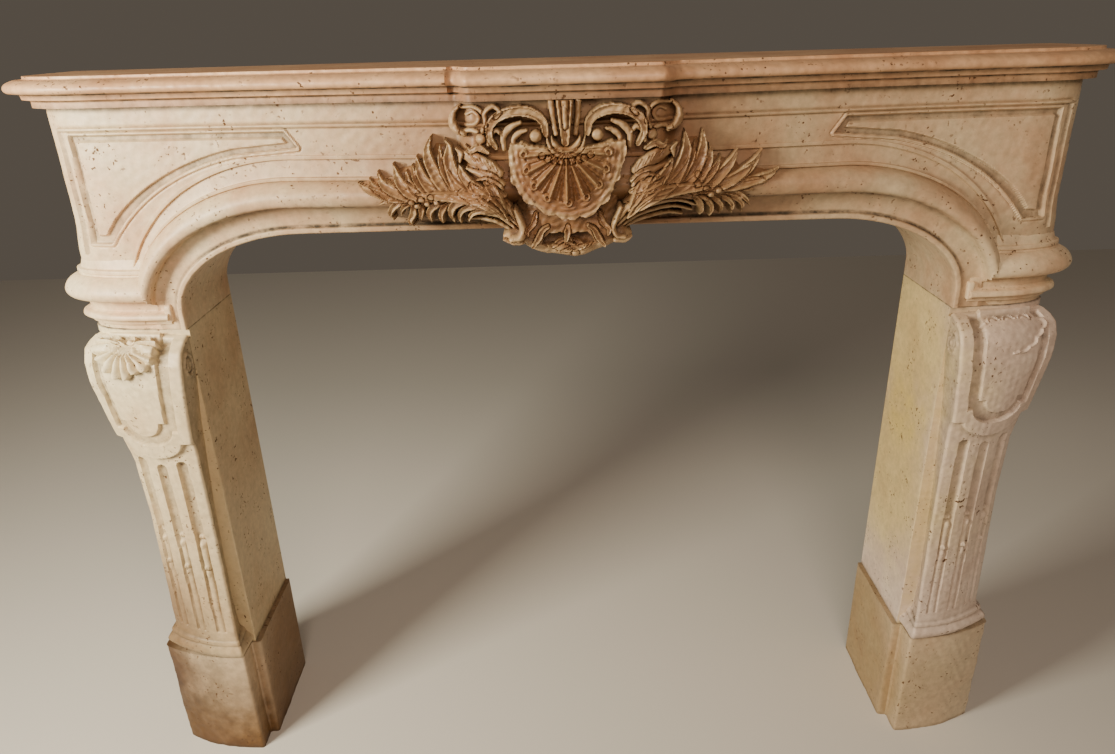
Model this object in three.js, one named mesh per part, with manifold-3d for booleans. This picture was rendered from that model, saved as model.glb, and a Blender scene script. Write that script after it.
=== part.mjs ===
// A carved limestone fireplace mantel: moulded shelf, arched lintel with a shell and acanthus centre,
// two console jambs and two plinths. Millimetres, +Z up. The origin is on the floor, under the middle
// of the outline. The back faces lie in one plane at +Y, where the wall is; the carved faces look to -Y.
import * as THREE from 'three';
import { mergeVertices } from 'three/addons/utils/BufferGeometryUtils.js';
import Module from 'manifold-3d';

const wasm = await Module();
wasm.setup();

// Driving dimensions. A depth is the distance of a point from the wall plane.
const HEIGHT = 1100;
const TOTAL_DEPTH = 272;
const WALL_Y = TOTAL_DEPTH / 2;
const JOINT_GAP = 0.3;

// Levels of the bed joints
const PLINTH_TOP = 203;
const JAMB_TOP = 762;
const LINTEL_TOP = 1061;

// Plan of the frieze: a centre break, two wings that sweep back, and rounded ends
const FRIEZE_HALF = 684;
const END_START = 600;
const END_DEPTH = 118;
const WING_END_DEPTH = 158;
const WING_BREAK_DEPTH = 206;
const BREAK_DEPTH = 228;
const BREAK_IN = 112;
const BREAK_OUT = 138;

// Opening: straight reveals, quarter-ellipse corners and a flat crown
const REVEAL_HALF = 540;
const CROWN_HALF = 360;
const SPRING_Z = 786;
const CROWN_Z = 893;
const EDGE_DEPTH = 169;

// Arch moulding, measured outwards from the edge of the opening
const BAND_WIDTH = 38;
const BULGE_WIDTH_SPRING = 62;
const BULGE_WIDTH_CROWN = 78;
const LINE_WIDTH_CROWN = 104;
const BULGE_RELIEF = 24;
const CAPITAL_BAND_Z = 804;
const CAPITAL_IN = 552;
const CAPITAL_BULGE_IN = 594;
const CAPITAL_ROOT = 40;
const MOULDING_ROOT = 45;

// Sunk spandrel panels and the raised line that frames the frieze
const FRAME_Z = 1035;
const FRAME_X = 664;
const FRAME_LOW = 868;
const FRAME_LINE = 3;
const FRAME_RELIEF = 2.5;
const PANEL_TOP = 1026;
const PANEL_OUT = 650;
const PANEL_TIP = 345;
const PANEL_LOW = 884;
const PANEL_LOW_TIP = 622;
const PANEL_FROM_EDGE = 112;
const PANEL_SUNK = 3.5;
const PANEL_RIM = 7;

// Jambs and plinths
const SLIP_FRONT = 169;
const PLINTH_REVEAL = 534;
const PLINTH_IN = 549;
const PLINTH_OUT = 689;
const PLINTH_FRONT = 205;
const PLINTH_CORNER_DEPTH = 171;
const ABACUS_LOW = 748;
const SHIELD_LOW = 574;
const SHIELD_EAR = 604;
const FLUTES = [[575, 569], [610, 560], [645, 566]];
const FLUTE_DEPTH = 5;
const FLUTE_WIDTH = 16;
const FLUTE_LOW = 250;
const CABLE_WIDTH = 10;
const CABLE_TOP = 428;
const TORUS_TOP = 244;
const FRONT_BOW = 2.2;

// Centre carving
const SHELL_Z = 1003;
const SHELL_RADIUS = 82;
const SHELL_RIBS = 9;

// Points, solids and booleans

/** A point given by its place across, its depth from the wall and its height. */
const at = (x, depth, z) => [x, WALL_Y - depth, z];

/** Blend from 0 to 1 as t runs from a to b, level at both ends. */
function smooth(a, b, t) {
  const k = Math.min(1, Math.max(0, (t - a) / (b - a)));
  return k * k * (3 - 2 * k);
}

/** Value of a chain of [position, value] pairs at t, straight between them. */
function along(chain, t) {
  const next = chain.findIndex(([position]) => position > t);
  if (next === 0) return chain[0][1];
  if (next < 0) return chain[chain.length - 1][1];
  const [[p0, v0], [p1, v1]] = [chain[next - 1], chain[next]];
  return v0 + ((v1 - v0) * (t - p0)) / (p1 - p0);
}

const range = (count) => Array.from({ length: count }, (_, i) => i);
const mix = (a, b, t) => a + (b - a) * t;

/** A three.js geometry as a manifold solid, turned right side out if need be. */
function toSolid(geometry) {
  geometry.deleteAttribute('normal');
  geometry.deleteAttribute('uv');
  const merged = mergeVertices(geometry, 1e-3);
  const index = merged.index.array;
  const make = (order) => new wasm.Manifold(new wasm.Mesh({
    numProp: 3,
    vertProperties: Float32Array.from(merged.attributes.position.array),
    triVerts: Uint32Array.from(order),
  }));
  const solid = make(index);
  if (solid.volume() > 0) return solid;
  const turned = range(index.length / 3).flatMap((i) => [index[3 * i], index[3 * i + 2], index[3 * i + 1]]);
  return make(turned);
}

/** A closed body through rings of points, with both end rings filled in. */
function loft(rings) {
  const count = rings[0].length;
  const positions = rings.flat(2);
  const faces = [];
  for (let i = 0; i < rings.length - 1; i += 1) {
    for (let j = 0; j < count; j += 1) {
      const k = (j + 1) % count;
      const [a, b, c, d] = [i * count + j, i * count + k, (i + 1) * count + k, (i + 1) * count + j];
      faces.push(a, b, c, a, c, d);
    }
  }
  for (const [ring, first, flip] of [[rings[0], 0, true], [rings.at(-1), (rings.length - 1) * count, false]]) {
    for (const [a, b, c] of capFaces(ring)) {
      faces.push(...(flip ? [first + a, first + c, first + b] : [first + a, first + b, first + c]));
    }
  }
  const geometry = new THREE.BufferGeometry();
  geometry.setAttribute('position', new THREE.Float32BufferAttribute(positions, 3));
  geometry.setIndex(faces);
  return toSolid(geometry);
}

/** Triangles of a flat ring, found in the plane that shows it largest. */
function capFaces(ring) {
  const spans = [0, 1, 2].map((axis) => {
    const values = ring.map((p) => p[axis]);
    return Math.max(...values) - Math.min(...values);
  });
  const flat = spans.indexOf(Math.min(...spans));
  const [u, v] = [(flat + 1) % 3, (flat + 2) % 3];
  const outline = ring.map((p) => new THREE.Vector2(p[u], p[v]));
  const turned = THREE.ShapeUtils.isClockWise(outline);
  const order = range(ring.length).map((i) => (turned ? ring.length - 1 - i : i));
  const triangles = THREE.ShapeUtils.triangulateShape(order.map((i) => outline[i]), []);
  return triangles.map((triangle) => {
    const [a, b, c] = triangle.map((i) => order[i]);
    return turned ? [a, c, b] : [a, b, c];
  });
}

/** A prism that stands out of the wall: an outline of [x, z] points between two depths. */
function frontPrism(outline, depthLow, depthHigh) {
  const shape = new THREE.Shape(outline.map(([x, z]) => new THREE.Vector2(x, z)));
  const geometry = new THREE.ExtrudeGeometry(shape, { depth: depthHigh - depthLow, bevelEnabled: false });
  geometry.rotateX(Math.PI / 2);
  geometry.translate(0, WALL_Y - depthLow, 0);
  return toSolid(geometry);
}

/** A plain box between two corners of [x, depth, z]. */
function box(x0, x1, depth0, depth1, z0, z1) {
  const geometry = new THREE.BoxGeometry(x1 - x0, depth1 - depth0, z1 - z0);
  geometry.translate((x0 + x1) / 2, WALL_Y - (depth0 + depth1) / 2, (z0 + z1) / 2);
  return toSolid(geometry);
}

const join = (solids) => solids.reduce((whole, piece) => whole.add(piece));

/** A solid with its sealed hollows filled: the pieces of surface that bound stone, without those that bound air. */
const filled = (solid) => join(solid.decompose().filter((piece) => piece.volume() > 0));

/** The mirror image of a solid on the other side of the centre plane. */
const mirrored = (solid) => solid.mirror([1, 0, 0]);

// Plan of shelf and frieze

/** Depth of the frieze face at x. */
function friezeDepth(x) {
  const a = Math.abs(x);
  if (a >= END_START) {
    const k = Math.min(1, (a - END_START) / (FRIEZE_HALF - END_START));
    return mix(END_DEPTH, WING_END_DEPTH, Math.sqrt(1 - k * k));
  }
  const sweep = Math.max(0, 1 - Math.max(0, a - BREAK_OUT) / (END_START - BREAK_OUT));
  const wing = mix(WING_END_DEPTH, WING_BREAK_DEPTH, sweep ** 1.5);
  return mix(BREAK_DEPTH, wing, smooth(BREAK_IN, BREAK_OUT, a));
}

const END_STEPS = 4;
const WING_STEPS = [480, 360, 260, 190];
const BREAK_STEPS = [138, 130, 120, 112];

/** Right half of the plan, from the wall to the centre: place, depth and the way the mouldings step out. */
function halfPlan() {
  const side = { x: FRIEZE_HALF, depth: 0, out: [1, 0] };
  const end = range(END_STEPS + 1).map((i) => {
    const angle = (Math.PI / 2) * (1 - i / END_STEPS);
    const x = mix(END_START, FRIEZE_HALF, Math.sin(angle));
    const depth = mix(END_DEPTH, WING_END_DEPTH, Math.cos(angle));
    return { x, depth, out: [Math.sin(angle), Math.cos(angle)] };
  });
  const front = [...WING_STEPS, ...BREAK_STEPS].map((x) => ({ x, depth: friezeDepth(x), out: [0, 1] }));
  return [side, ...end, ...front];
}

/** Closed ring of the plan, stepped out by an offset, at one height. */
function planRing(offset, z) {
  const right = halfPlan().map(({ x, depth, out }) => [x + out[0] * offset, depth + out[1] * offset]);
  const left = [...right].reverse().map(([x, depth]) => [-x, depth]);
  return [...right, ...left].map(([x, depth]) => at(x, depth, z));
}

// Shelf: profile from the underside up, as offset from the frieze face and height
const SHELF_PROFILE = [
  [15, LINTEL_TOP + JOINT_GAP], [16, 1070], [25, 1072], [26, 1078],
  [40, 1079.5], [44, 1084], [43, 1089], [36, 1093.5], [20, 1096], [18, 1097], [18, HEIGHT],
];

const shelf = loft(SHELF_PROFILE.map(([offset, z]) => planRing(offset, z)));

// Lintel

/** Edge of the opening as path points: place, outward direction and rise, 0 at the spring and 1 at the crown. */
function archPath(lowZ) {
  const cornerSteps = 8;
  const right = [{ x: REVEAL_HALF, z: lowZ, out: [1, 0], rise: 0 }];
  for (let i = 0; i <= cornerSteps; i += 1) {
    const angle = (Math.PI / 2) * (i / cornerSteps);
    const [wide, high] = [REVEAL_HALF - CROWN_HALF, CROWN_Z - SPRING_Z];
    const normal = new THREE.Vector2(Math.cos(angle) / wide, Math.sin(angle) / high).normalize();
    const x = CROWN_HALF + wide * Math.cos(angle);
    const z = SPRING_Z + high * Math.sin(angle);
    right.push({ x, z, out: [normal.x, normal.y], rise: Math.sin(angle) });
  }
  for (const x of [240, 180, BREAK_OUT, BREAK_IN]) right.push({ x, z: CROWN_Z, out: [0, 1], rise: 1 });
  const left = [...right].reverse().map((p) => ({ ...p, x: -p.x, out: [-p.out[0], p.out[1]] }));
  return [...right, ...left];
}

/** Sweep along the arch: sections are [distance from the edge, relief] pairs that may depend on the rise. */
function archSweep(section, lowZ) {
  return loft(archPath(lowZ).map(({ x, z, out, rise }) => section(rise).map(([distance, relief]) => {
    const px = x + out[0] * distance;
    const pz = z + out[1] * distance;
    const onFrieze = smooth(10, BULGE_WIDTH_SPRING, distance);
    return at(px, mix(EDGE_DEPTH, friezeDepth(px), onFrieze) + relief, pz);
  })));
}

/** Bead at the edge of the opening, dark groove and hollow band. */
const bandSection = () => [
  [0, 0], [2, 2.5], [7, 2.5], [9, -2], [22, -1], [BAND_WIDTH + 2, 4],
  [BAND_WIDTH + 2, -MOULDING_ROOT], [0, -MOULDING_ROOT],
];

/** Swelling moulding with its fillets and the thin line outside it. */
function bulgeSection(rise) {
  const wide = mix(BULGE_WIDTH_SPRING, BULGE_WIDTH_CROWN, rise);
  const line = mix(BULGE_WIDTH_SPRING + 0.6, LINE_WIDTH_CROWN, rise);
  const body = wide - 5 - BAND_WIDTH;
  return [
    [BAND_WIDTH, 3], [BAND_WIDTH + 0.5, 0.85 * BULGE_RELIEF], [BAND_WIDTH + 0.25 * body, BULGE_RELIEF],
    [BAND_WIDTH + 0.6 * body, 0.78 * BULGE_RELIEF], [wide - 4.5, 5], [wide - 2, 8], [wide + 0.4, 2.5],
    [line, 2.5], [line + 0.2, -MOULDING_ROOT], [BAND_WIDTH, -MOULDING_ROOT],
  ];
}

/** Capital mouldings along the rounded end: [offset, height] profile from an inner start to the wall. */
function capitalSweep(profile, startX) {
  const path = halfPlan().filter(({ x }) => x >= END_START);
  const start = { x: startX, depth: friezeDepth(startX), out: [0, 1] };
  return loft([...path, start].map(({ x, depth, out }) => [
    ...profile.map(([offset, z]) => at(x + out[0] * offset, depth + out[1] * offset, z)),
    at(x - out[0] * CAPITAL_ROOT, depth - out[1] * CAPITAL_ROOT, profile.at(-1)[1]),
    at(x - out[0] * CAPITAL_ROOT, depth - out[1] * CAPITAL_ROOT, profile[0][1]),
  ]));
}

const CAPITAL_LOW = [
  [4, JAMB_TOP], [5, 770], [10, 771], [11, 776], [17, 777],
  [20, 780.5], [18, 785], [11, 787.5], [7, 790], [8, CAPITAL_BAND_Z],
];
const CAPITAL_BULGE = [
  [3, CAPITAL_BAND_Z - 0.5], [20, CAPITAL_BAND_Z], [27, 812], [28, 822], [24, 833],
  [14, 841], [8, 844], [8, 849], [2, 850], [0, 853],
];

/** Corner of the spandrel panel that follows the arch, at a distance from the edge of the opening. */
function archOffset(distance, angleLow, angleHigh, steps) {
  return range(steps + 1).map((i) => {
    const angle = mix(angleLow, angleHigh, i / steps);
    const [wide, high] = [REVEAL_HALF - CROWN_HALF, CROWN_Z - SPRING_Z];
    return [
      CROWN_HALF + (wide + distance) * Math.cos(angle),
      SPRING_Z + (high + distance) * Math.sin(angle),
    ];
  });
}

/** Outline of the spandrel panel, drawn in by a margin. */
function panelOutline(margin) {
  const curve = archOffset(PANEL_FROM_EDGE + margin, 0.47, 1.32, 5);
  const [lowX, lowZ] = [curve[0][0], PANEL_LOW + margin];
  return [
    [PANEL_OUT - margin, lowZ],
    [PANEL_OUT - margin - 3, PANEL_TOP - margin],
    [PANEL_TIP + 15 + 1.4 * margin, PANEL_TOP - margin],
    [PANEL_TIP + 2 * margin, PANEL_TOP - 20 + 0.4 * margin],
    ...curve.reverse(),
    [Math.max(lowX, PANEL_LOW_TIP + margin), lowZ],
  ];
}

/** What lies between two offsets of the frieze face, over the whole lintel. */
function friezeLayer(low, high) {
  const outer = loft([planRing(high, JAMB_TOP), planRing(high, LINTEL_TOP)]);
  const inner = loft([planRing(low, JAMB_TOP - 1), planRing(low, LINTEL_TOP + 1)]);
  return outer.subtract(inner);
}

/** A raised or sunk strip that follows the frieze: an outline on the front, cut to a layer. */
const onFrieze = (outline, low, high) => frontPrism(outline, 60, 300).intersect(friezeLayer(low, high));

function lintelBlock() {
  const body = loft([planRing(0, JAMB_TOP), planRing(0, LINTEL_TOP)]);
  const edge = archPath(JAMB_TOP - 20).map(({ x, z }) => [x, z]);
  return body.subtract(frontPrism(edge, -10, 400));
}

function archMouldings() {
  const low = box(-800, 800, -10, 400, 600, CAPITAL_BAND_Z);
  return archSweep(bandSection, JAMB_TOP).add(archSweep(bulgeSection, JAMB_TOP).subtract(low));
}

function spandrelPanel() {
  const rim = onFrieze(panelOutline(0), -PANEL_SUNK, 5);
  const field = frontPrism(panelOutline(PANEL_RIM), 60, 300);
  return rim.subtract(field);
}

function frieze() {
  const bar = (x0, x1, z0, z1) => onFrieze([[x0, z0], [x1, z0], [x1, z1], [x0, z1]], -1, FRAME_RELIEF);
  const top = bar(-FRAME_X, FRAME_X, FRAME_Z - FRAME_LINE, FRAME_Z);
  const side = bar(FRAME_X - FRAME_LINE, FRAME_X, FRAME_LOW, FRAME_Z - 0.5);
  return { raised: join([top, side, mirrored(side)]), sunk: join([spandrelPanel(), mirrored(spandrelPanel())]) };
}

// Centre carving

/** A leaf: a ridge along a bent midrib from root to tip, with a width and a rise that swell and fade. */
function leaf({ root, bend, tip, width, rise = 9, depths = [222, 232, 214], steps = 3 }) {
  const curve = new THREE.QuadraticBezierCurve(...[root, bend, tip].map(([x, z]) => new THREE.Vector2(x, z)));
  return loft(range(steps + 1).map((i) => {
    const t = i / steps;
    const p = curve.getPoint(t);
    const way = curve.getTangent(t);
    const half = 0.5 * width * Math.max(0.12, Math.sin(Math.PI * (0.22 + 0.78 * t)) ** 0.7);
    const depth = along([[0, depths[0]], [0.5, depths[1]], [1, depths[2]]], t);
    const back = Math.min(depth - 14, friezeDepth(p.x) - 6);
    return [
      at(p.x - way.y * half, depth, p.y + way.x * half),
      at(p.x, depth + rise * (1 - 0.6 * t), p.y),
      at(p.x + way.y * half, depth, p.y - way.x * half),
      at(p.x, back, p.y),
    ];
  }));
}

/** A rounded band on the front that follows a curve of [x, z] points, tapering from one width to the other. */
function scroll(points, widths, depth, steps, rise = 9) {
  const curve = new THREE.CatmullRomCurve3(points.map(([x, z]) => new THREE.Vector3(x, 0, z)), false, 'centripetal');
  return loft(range(steps + 1).map((i) => {
    const t = i / steps;
    const p = curve.getPoint(t);
    const way = curve.getTangent(t);
    const half = mix(widths[0], widths[1], t) / 2;
    const edge = (side, d) => at(p.x - side * way.z * half, d, p.z + side * way.x * half);
    return [edge(1, depth - 22), edge(0.55, depth + rise), edge(-0.55, depth + rise), edge(-1, depth - 22)];
  }));
}

/** A ball on the front face. */
function ball(x, z, radius, depth) {
  const geometry = new THREE.SphereGeometry(radius, 6, 4);
  geometry.translate(x, WALL_Y - depth, z);
  return toSolid(geometry);
}

/** Fan of ribs round a hub: the surface rises to the ribs and falls to a thin wavy border. */
function fan({ x, z, radius, ribs, from, to, base, dome, ripple, back, perRib = 2 }) {
  const columns = ribs * perRib;
  const radii = [0.14, 0.7, 0.78, 1];
  return loft(range(columns + 1).map((j) => {
    const t = j / columns;
    const angle = mix(from, to, t);
    const wave = Math.cos(2 * Math.PI * ribs * t);
    const front = radii.map((k) => {
      const reach = k === 1 ? radius * (1 - 0.03 * (1 + wave)) : radius * k;
      const depth = base + dome * (1 - k * k) + (k < 0.75 ? -ripple * k * wave : 0);
      return at(x + reach * Math.cos(angle), depth, z + reach * Math.sin(angle));
    });
    const [inner, outer] = [front[0], front.at(-1)];
    return [...front, [outer[0], WALL_Y - back, outer[2]], [inner[0], WALL_Y - back, inner[2]]];
  }));
}

/** Acanthus spray on one side (+X): plumes above the stem, lobes below it, and berries between. */
function acanthus() {
  const stem = [108, 953];
  const plumes = [
    [[122, 985], [146, 1018], 16], [[128, 978], [165, 1022], 19], [[160, 968], [190, 1000], 16],
    [[178, 958], [220, 992], 16], [[196, 952], [246, 986], 16], [[208, 944], [270, 969], 15],
  ];
  const lobes = [
    [[176, 950], [153, 912], 14], [[186, 952], [180, 910], 14], [[202, 950], [210, 913], 14],
    [[216, 946], [238, 922], 13],
  ];
  const leaves = [
    ...plumes.map(([bend, tip, width], i) => leaf({ root: [mix(108, 186, i / 6), 953 - i], bend, tip, width })),
    ...lobes.map(([bend, tip, width], i) => (
      leaf({ root: [mix(150, 196, i / 3), 951], bend, tip, width, depths: [224, 230, 204] })
    )),
  ];
  const midrib = leaf({ root: stem, bend: [160, 944], tip: [236, 948], width: 13, rise: 12 });
  return join([...leaves, midrib]);
}

/** Scrolls and wing on one side (+X) of the shell. */
function sideScrolls() {
  const band = scroll(
    [[36, 1014], [27, 1022], [33, 1036], [50, 1047], [72, 1043], [88, 1026], [82, 1012]], [13, 11], 236, 9,
  );
  const lobe = scroll([[60, 1030], [72, 1022], [74, 1010]], [10, 8], 232, 3);
  const ear = scroll(
    [[121, 1030], [133, 1032], [136, 1045], [128, 1053], [112, 1048], [98, 1034], [100, 1018]], [12, 12], 228, 7,
  );
  const wave = scroll([[94, 1004], [106, 1012], [118, 1006], [128, 998]], [14, 8], 228, 3);
  const wing = leaf({
    root: [92, 962], bend: [96, 985], tip: [130, 998], width: 34, rise: 7, depths: [230, 232, 222],
  });
  const hollow = scroll([[70, 890], [60, 905], [72, 930], [106, 948], [150, 947], [172, 936]], [12, 8], 226, 6);
  const rib = leaf({
    root: [68, 908], bend: [100, 932], tip: [146, 926], width: 10, rise: 5, depths: [212, 210, 200],
  });
  return join([band, lobe, ear, wave, wing, hollow, rib, ball(34, 1021, 8, 240), ball(103, 1020, 7, 232)]);
}

/** Cartouche that carries the shell and hangs below the arch as an apron. */
function apron() {
  const half = [
    [0, 866], [16, 865], [46, 877], [80, 886], [84, 897],
    [66, 906], [64, 932], [84, 1000], [60, 1040], [30, LINTEL_TOP],
  ];
  const outline = [...half.slice(1).reverse().map(([x, z]) => [-x, z]), ...half];
  const body = frontPrism(outline, 120, 230);
  const tongue = leaf({
    root: [0, 925], bend: [0, 900], tip: [2, 868], width: 54, rise: 10, depths: [232, 230, 216],
  });
  return body.add(tongue);
}

function centreCarving() {
  const degree = Math.PI / 180;
  const shell = fan({
    x: 0, z: SHELL_Z, radius: SHELL_RADIUS, ribs: SHELL_RIBS,
    from: -188 * degree, to: 8 * degree, base: 234, dome: 16, ripple: 4, back: 215,
  });
  const collar = scroll([[-19, 1017], [-14, 1006], [0, 1000], [14, 1006], [19, 1017]], [11, 11], 248, 6, 8);
  const stem = scroll([[0, 1060], [0, 1035], [0, 1008]], [22, 18], 238, 3, 12);
  const sides = acanthus().add(sideScrolls());
  return join([apron(), shell, collar, stem, sides, mirrored(sides)]);
}

function makeLintel() {
  const { raised, sunk } = frieze();
  const capitals = capitalSweep(CAPITAL_LOW, CAPITAL_IN).add(capitalSweep(CAPITAL_BULGE, CAPITAL_BULGE_IN));
  const above = box(-900, 900, -10, 400, LINTEL_TOP, 1300);
  const block = lintelBlock().subtract(sunk);
  const stone = join([block, archMouldings(), raised, capitals, mirrored(capitals), centreCarving()]);
  return filled(stone.subtract(above));
}

const lintel = makeLintel();

// Right jamb; the left one is its mirror image

const INNER_ARRIS = [[203, 549], [240, 552], [600, 547], [700, 541], [762, 541]];
const OUTER_SIDE = [
  [TORUS_TOP, 671], [450, 667], [550, 668], [600, 674], [650, 682],
  [700, 689], [735, 691], [742, 688], [ABACUS_LOW, 682],
];
const FRONT_INNER = [
  [TORUS_TOP, 206], [420, 204], [560, 206], [620, 210], [690, 211],
  [720, 206], [735, 197], [744, 182], [ABACUS_LOW, 168],
];
const FRONT_OUTER = [
  [TORUS_TOP, 163], [450, 160], [550, 163], [620, 172], [690, 178],
  [720, 175], [735, 166], [ABACUS_LOW, 148],
];
const TORUS = [
  [PLINTH_TOP + JOINT_GAP, 3], [207, 9], [215, 11], [224, 8], [227, 5], [232, 6], [236, 2], [TORUS_TOP, 0],
];
const JAMB_LEVELS = [...TORUS.map(([z]) => z), 450, 550, 600, 650, 695, 720, 735, 744, ABACUS_LOW];
const FRONT_STEPS = 5;

/** Ring of the jamb at one height: reveal, slip, then the bowed front, stepped out by an offset. */
function jambRing(z, offset) {
  const foot = z <= TORUS_TOP ? along(TORUS, z) : 0;
  const inner = along(INNER_ARRIS, z);
  const outer = along(OUTER_SIDE, z) + 1.4 * foot;
  const front = range(FRONT_STEPS + 1).map((i) => {
    const u = i / FRONT_STEPS;
    const depth = mix(along(FRONT_INNER, z), along(FRONT_OUTER, z), u ** FRONT_BOW) + 0.6 * foot + offset;
    return at(mix(inner, outer, u), depth, z);
  });
  const reveal = [at(REVEAL_HALF, 0, z), at(REVEAL_HALF, SLIP_FRONT, z), at(inner, SLIP_FRONT - 0.5, z)];
  return [...reveal, ...front, at(outer, 0, z)];
}

const jambBody = (offset) => loft(JAMB_LEVELS.map((z) => jambRing(z, offset)));

/** What lies within an outline on the jamb's front, raised to a height over it. */
const raisedFront = (outline, high) => frontPrism(outline, 100, 320).intersect(jambBody(high));

/** Outline of the console's shield or, with a margin, of its sunk panel: square ears and a round foot. */
function shieldOutline(margin, topZ, footZ, earZ) {
  const [inner, outer] = [along(INNER_ARRIS, 640) + margin, along(OUTER_SIDE, 640) - margin];
  const middle = (inner + outer) / 2;
  const reach = (outer - inner) / 2 - 9;
  const steps = 8;
  const foot = range(steps + 1).map((i) => {
    const angle = Math.PI * (1 - i / steps);
    return [middle + reach * Math.cos(angle), earZ - (earZ - footZ) * Math.sin(angle)];
  });
  return [[inner, topZ], [inner, earZ], ...foot, [outer, earZ], [outer, topZ]];
}

/** One upright flute or cable, square at the foot and round at the head. */
function fluteOutline(x, lowZ, highZ, width) {
  const half = width / 2;
  const head = range(4).map((i) => {
    const angle = (Math.PI * i) / 3;
    return [x + half * Math.cos(angle), highZ - half + half * Math.sin(angle)];
  });
  return [...head, [x - half, lowZ], [x + half, lowZ]];
}

/** Small shell that lies over the console's shoulder, with its row of round buds under the abacus. */
function consoleShell() {
  const [x, z] = [618, 746];
  const [wide, tall] = [46, 31];
  const ribs = 7;
  const spot = (angle, reach) => [x + reach * wide * Math.cos(angle), z + reach * tall * Math.sin(angle)];
  const edge = range(4 * ribs + 1).map((i) => {
    const lobe = Math.abs(Math.sin((Math.PI * i) / 4));
    return spot(Math.PI * (1 + i / (4 * ribs)), 0.92 + 0.08 * lobe);
  });
  const rods = range(ribs).map((i) => {
    const angle = (Math.PI * (ribs + i + 0.5)) / ribs;
    return [spot(angle + 0.1, 0.3), spot(angle - 0.1, 0.3), spot(angle - 0.14, 0.93), spot(angle + 0.14, 0.93)];
  });
  const buds = range(3).map((i) => ball(x - 21 + 20 * i, 741, 7.5, 174));
  return join([raisedFront(edge, 7.5), ...rods.map((outline) => raisedFront(outline, 10.5)), ...buds]);
}

function volute() {
  const geometry = new THREE.CylinderGeometry(15, 16, 4, 14);
  geometry.rotateZ(Math.PI / 2);
  geometry.translate(REVEAL_HALF + 0.5, WALL_Y - 190, 718);
  return toSolid(geometry);
}

function makeJamb() {
  const shield = shieldOutline(-12, 760, SHIELD_LOW, SHIELD_EAR);
  const panel = shieldOutline(17, 740, SHIELD_LOW + 24, SHIELD_EAR + 17);
  const field = shieldOutline(28, 732, SHIELD_LOW + 39, SHIELD_EAR + 30);
  const cut = (outline, low) => frontPrism(outline, 100, 320).subtract(jambBody(low));
  const flutes = FLUTES.map(([x, topZ]) => cut(fluteOutline(x, FLUTE_LOW, topZ, FLUTE_WIDTH), -FLUTE_DEPTH));
  const cables = FLUTES.map(([x]) => raisedFront(fluteOutline(x, FLUTE_LOW, CABLE_TOP, CABLE_WIDTH), -0.5));
  const shaft = jambBody(0).subtract(join(flutes));
  const console = raisedFront(shield, 6).subtract(cut(panel, 1)).add(raisedFront(field, 5));
  return filled(join([shaft, ...cables, console, abacus(), consoleShell(), volute()]));
}

/** The plain slab on the jamb, under the bed joint of the lintel. */
function abacus() {
  const path = [
    { x: REVEAL_HALF, depth: 0, out: [0, 0] },
    { x: REVEAL_HALF, depth: WING_END_DEPTH, out: [0, 1] },
    ...halfPlan().filter(({ x }) => x >= END_START).reverse(),
  ];
  const ring = (offset, z) => path.map(({ x, depth, out }) => at(x + out[0] * offset, depth + out[1] * offset, z));
  return loft([ring(3, ABACUS_LOW - 2), ring(5, ABACUS_LOW + 1), ring(6, JAMB_TOP - JOINT_GAP)]);
}

const rightJamb = makeJamb();

// Plinth: a plain block with a bowed front and a slip that runs back into the opening

function makePlinth() {
  const steps = 7;
  const front = range(steps + 1).map((i) => {
    const u = i / steps;
    return [mix(PLINTH_IN, PLINTH_OUT, u), mix(PLINTH_FRONT, PLINTH_CORNER_DEPTH, u ** FRONT_BOW)];
  });
  const plan = [[PLINTH_REVEAL, 0], [PLINTH_REVEAL, SLIP_FRONT], [PLINTH_IN, SLIP_FRONT], ...front, [PLINTH_OUT, 0]];
  return loft([0, PLINTH_TOP].map((z) => plan.map(([x, depth]) => at(x, depth, z))));
}

const rightPlinth = makePlinth();

// Scene graph: one named mesh for each stone

function mesh(name, solid, color, roughness) {
  const { vertProperties, triVerts, numProp } = solid.getMesh();
  const geometry = new THREE.BufferGeometry();
  const positions = numProp === 3 ? vertProperties : vertProperties.filter((_, i) => i % numProp < 3);
  geometry.setAttribute('position', new THREE.BufferAttribute(positions, 3));
  geometry.setIndex(new THREE.BufferAttribute(triVerts, 1));
  geometry.computeVertexNormals();
  const item = new THREE.Mesh(geometry, new THREE.MeshStandardMaterial({ color, roughness, metalness: 0 }));
  item.name = name;
  return item;
}

const mantel = new THREE.Group();
mantel.add(
  mesh('shelf', shelf, 0xc9ab8c, 0.6),
  mesh('lintel', lintel, 0xc4a483, 0.65),
  mesh('right_jamb', rightJamb, 0xcdb796, 0.65),
  mesh('left_jamb', mirrored(rightJamb), 0xcdb796, 0.65),
  mesh('right_plinth', rightPlinth, 0xc8b48f, 0.7),
  mesh('left_plinth', mirrored(rightPlinth), 0xc8b48f, 0.7),
);

export default mantel;
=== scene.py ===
import math

import bpy
import numpy as np
from mathutils import Matrix, Vector


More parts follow.
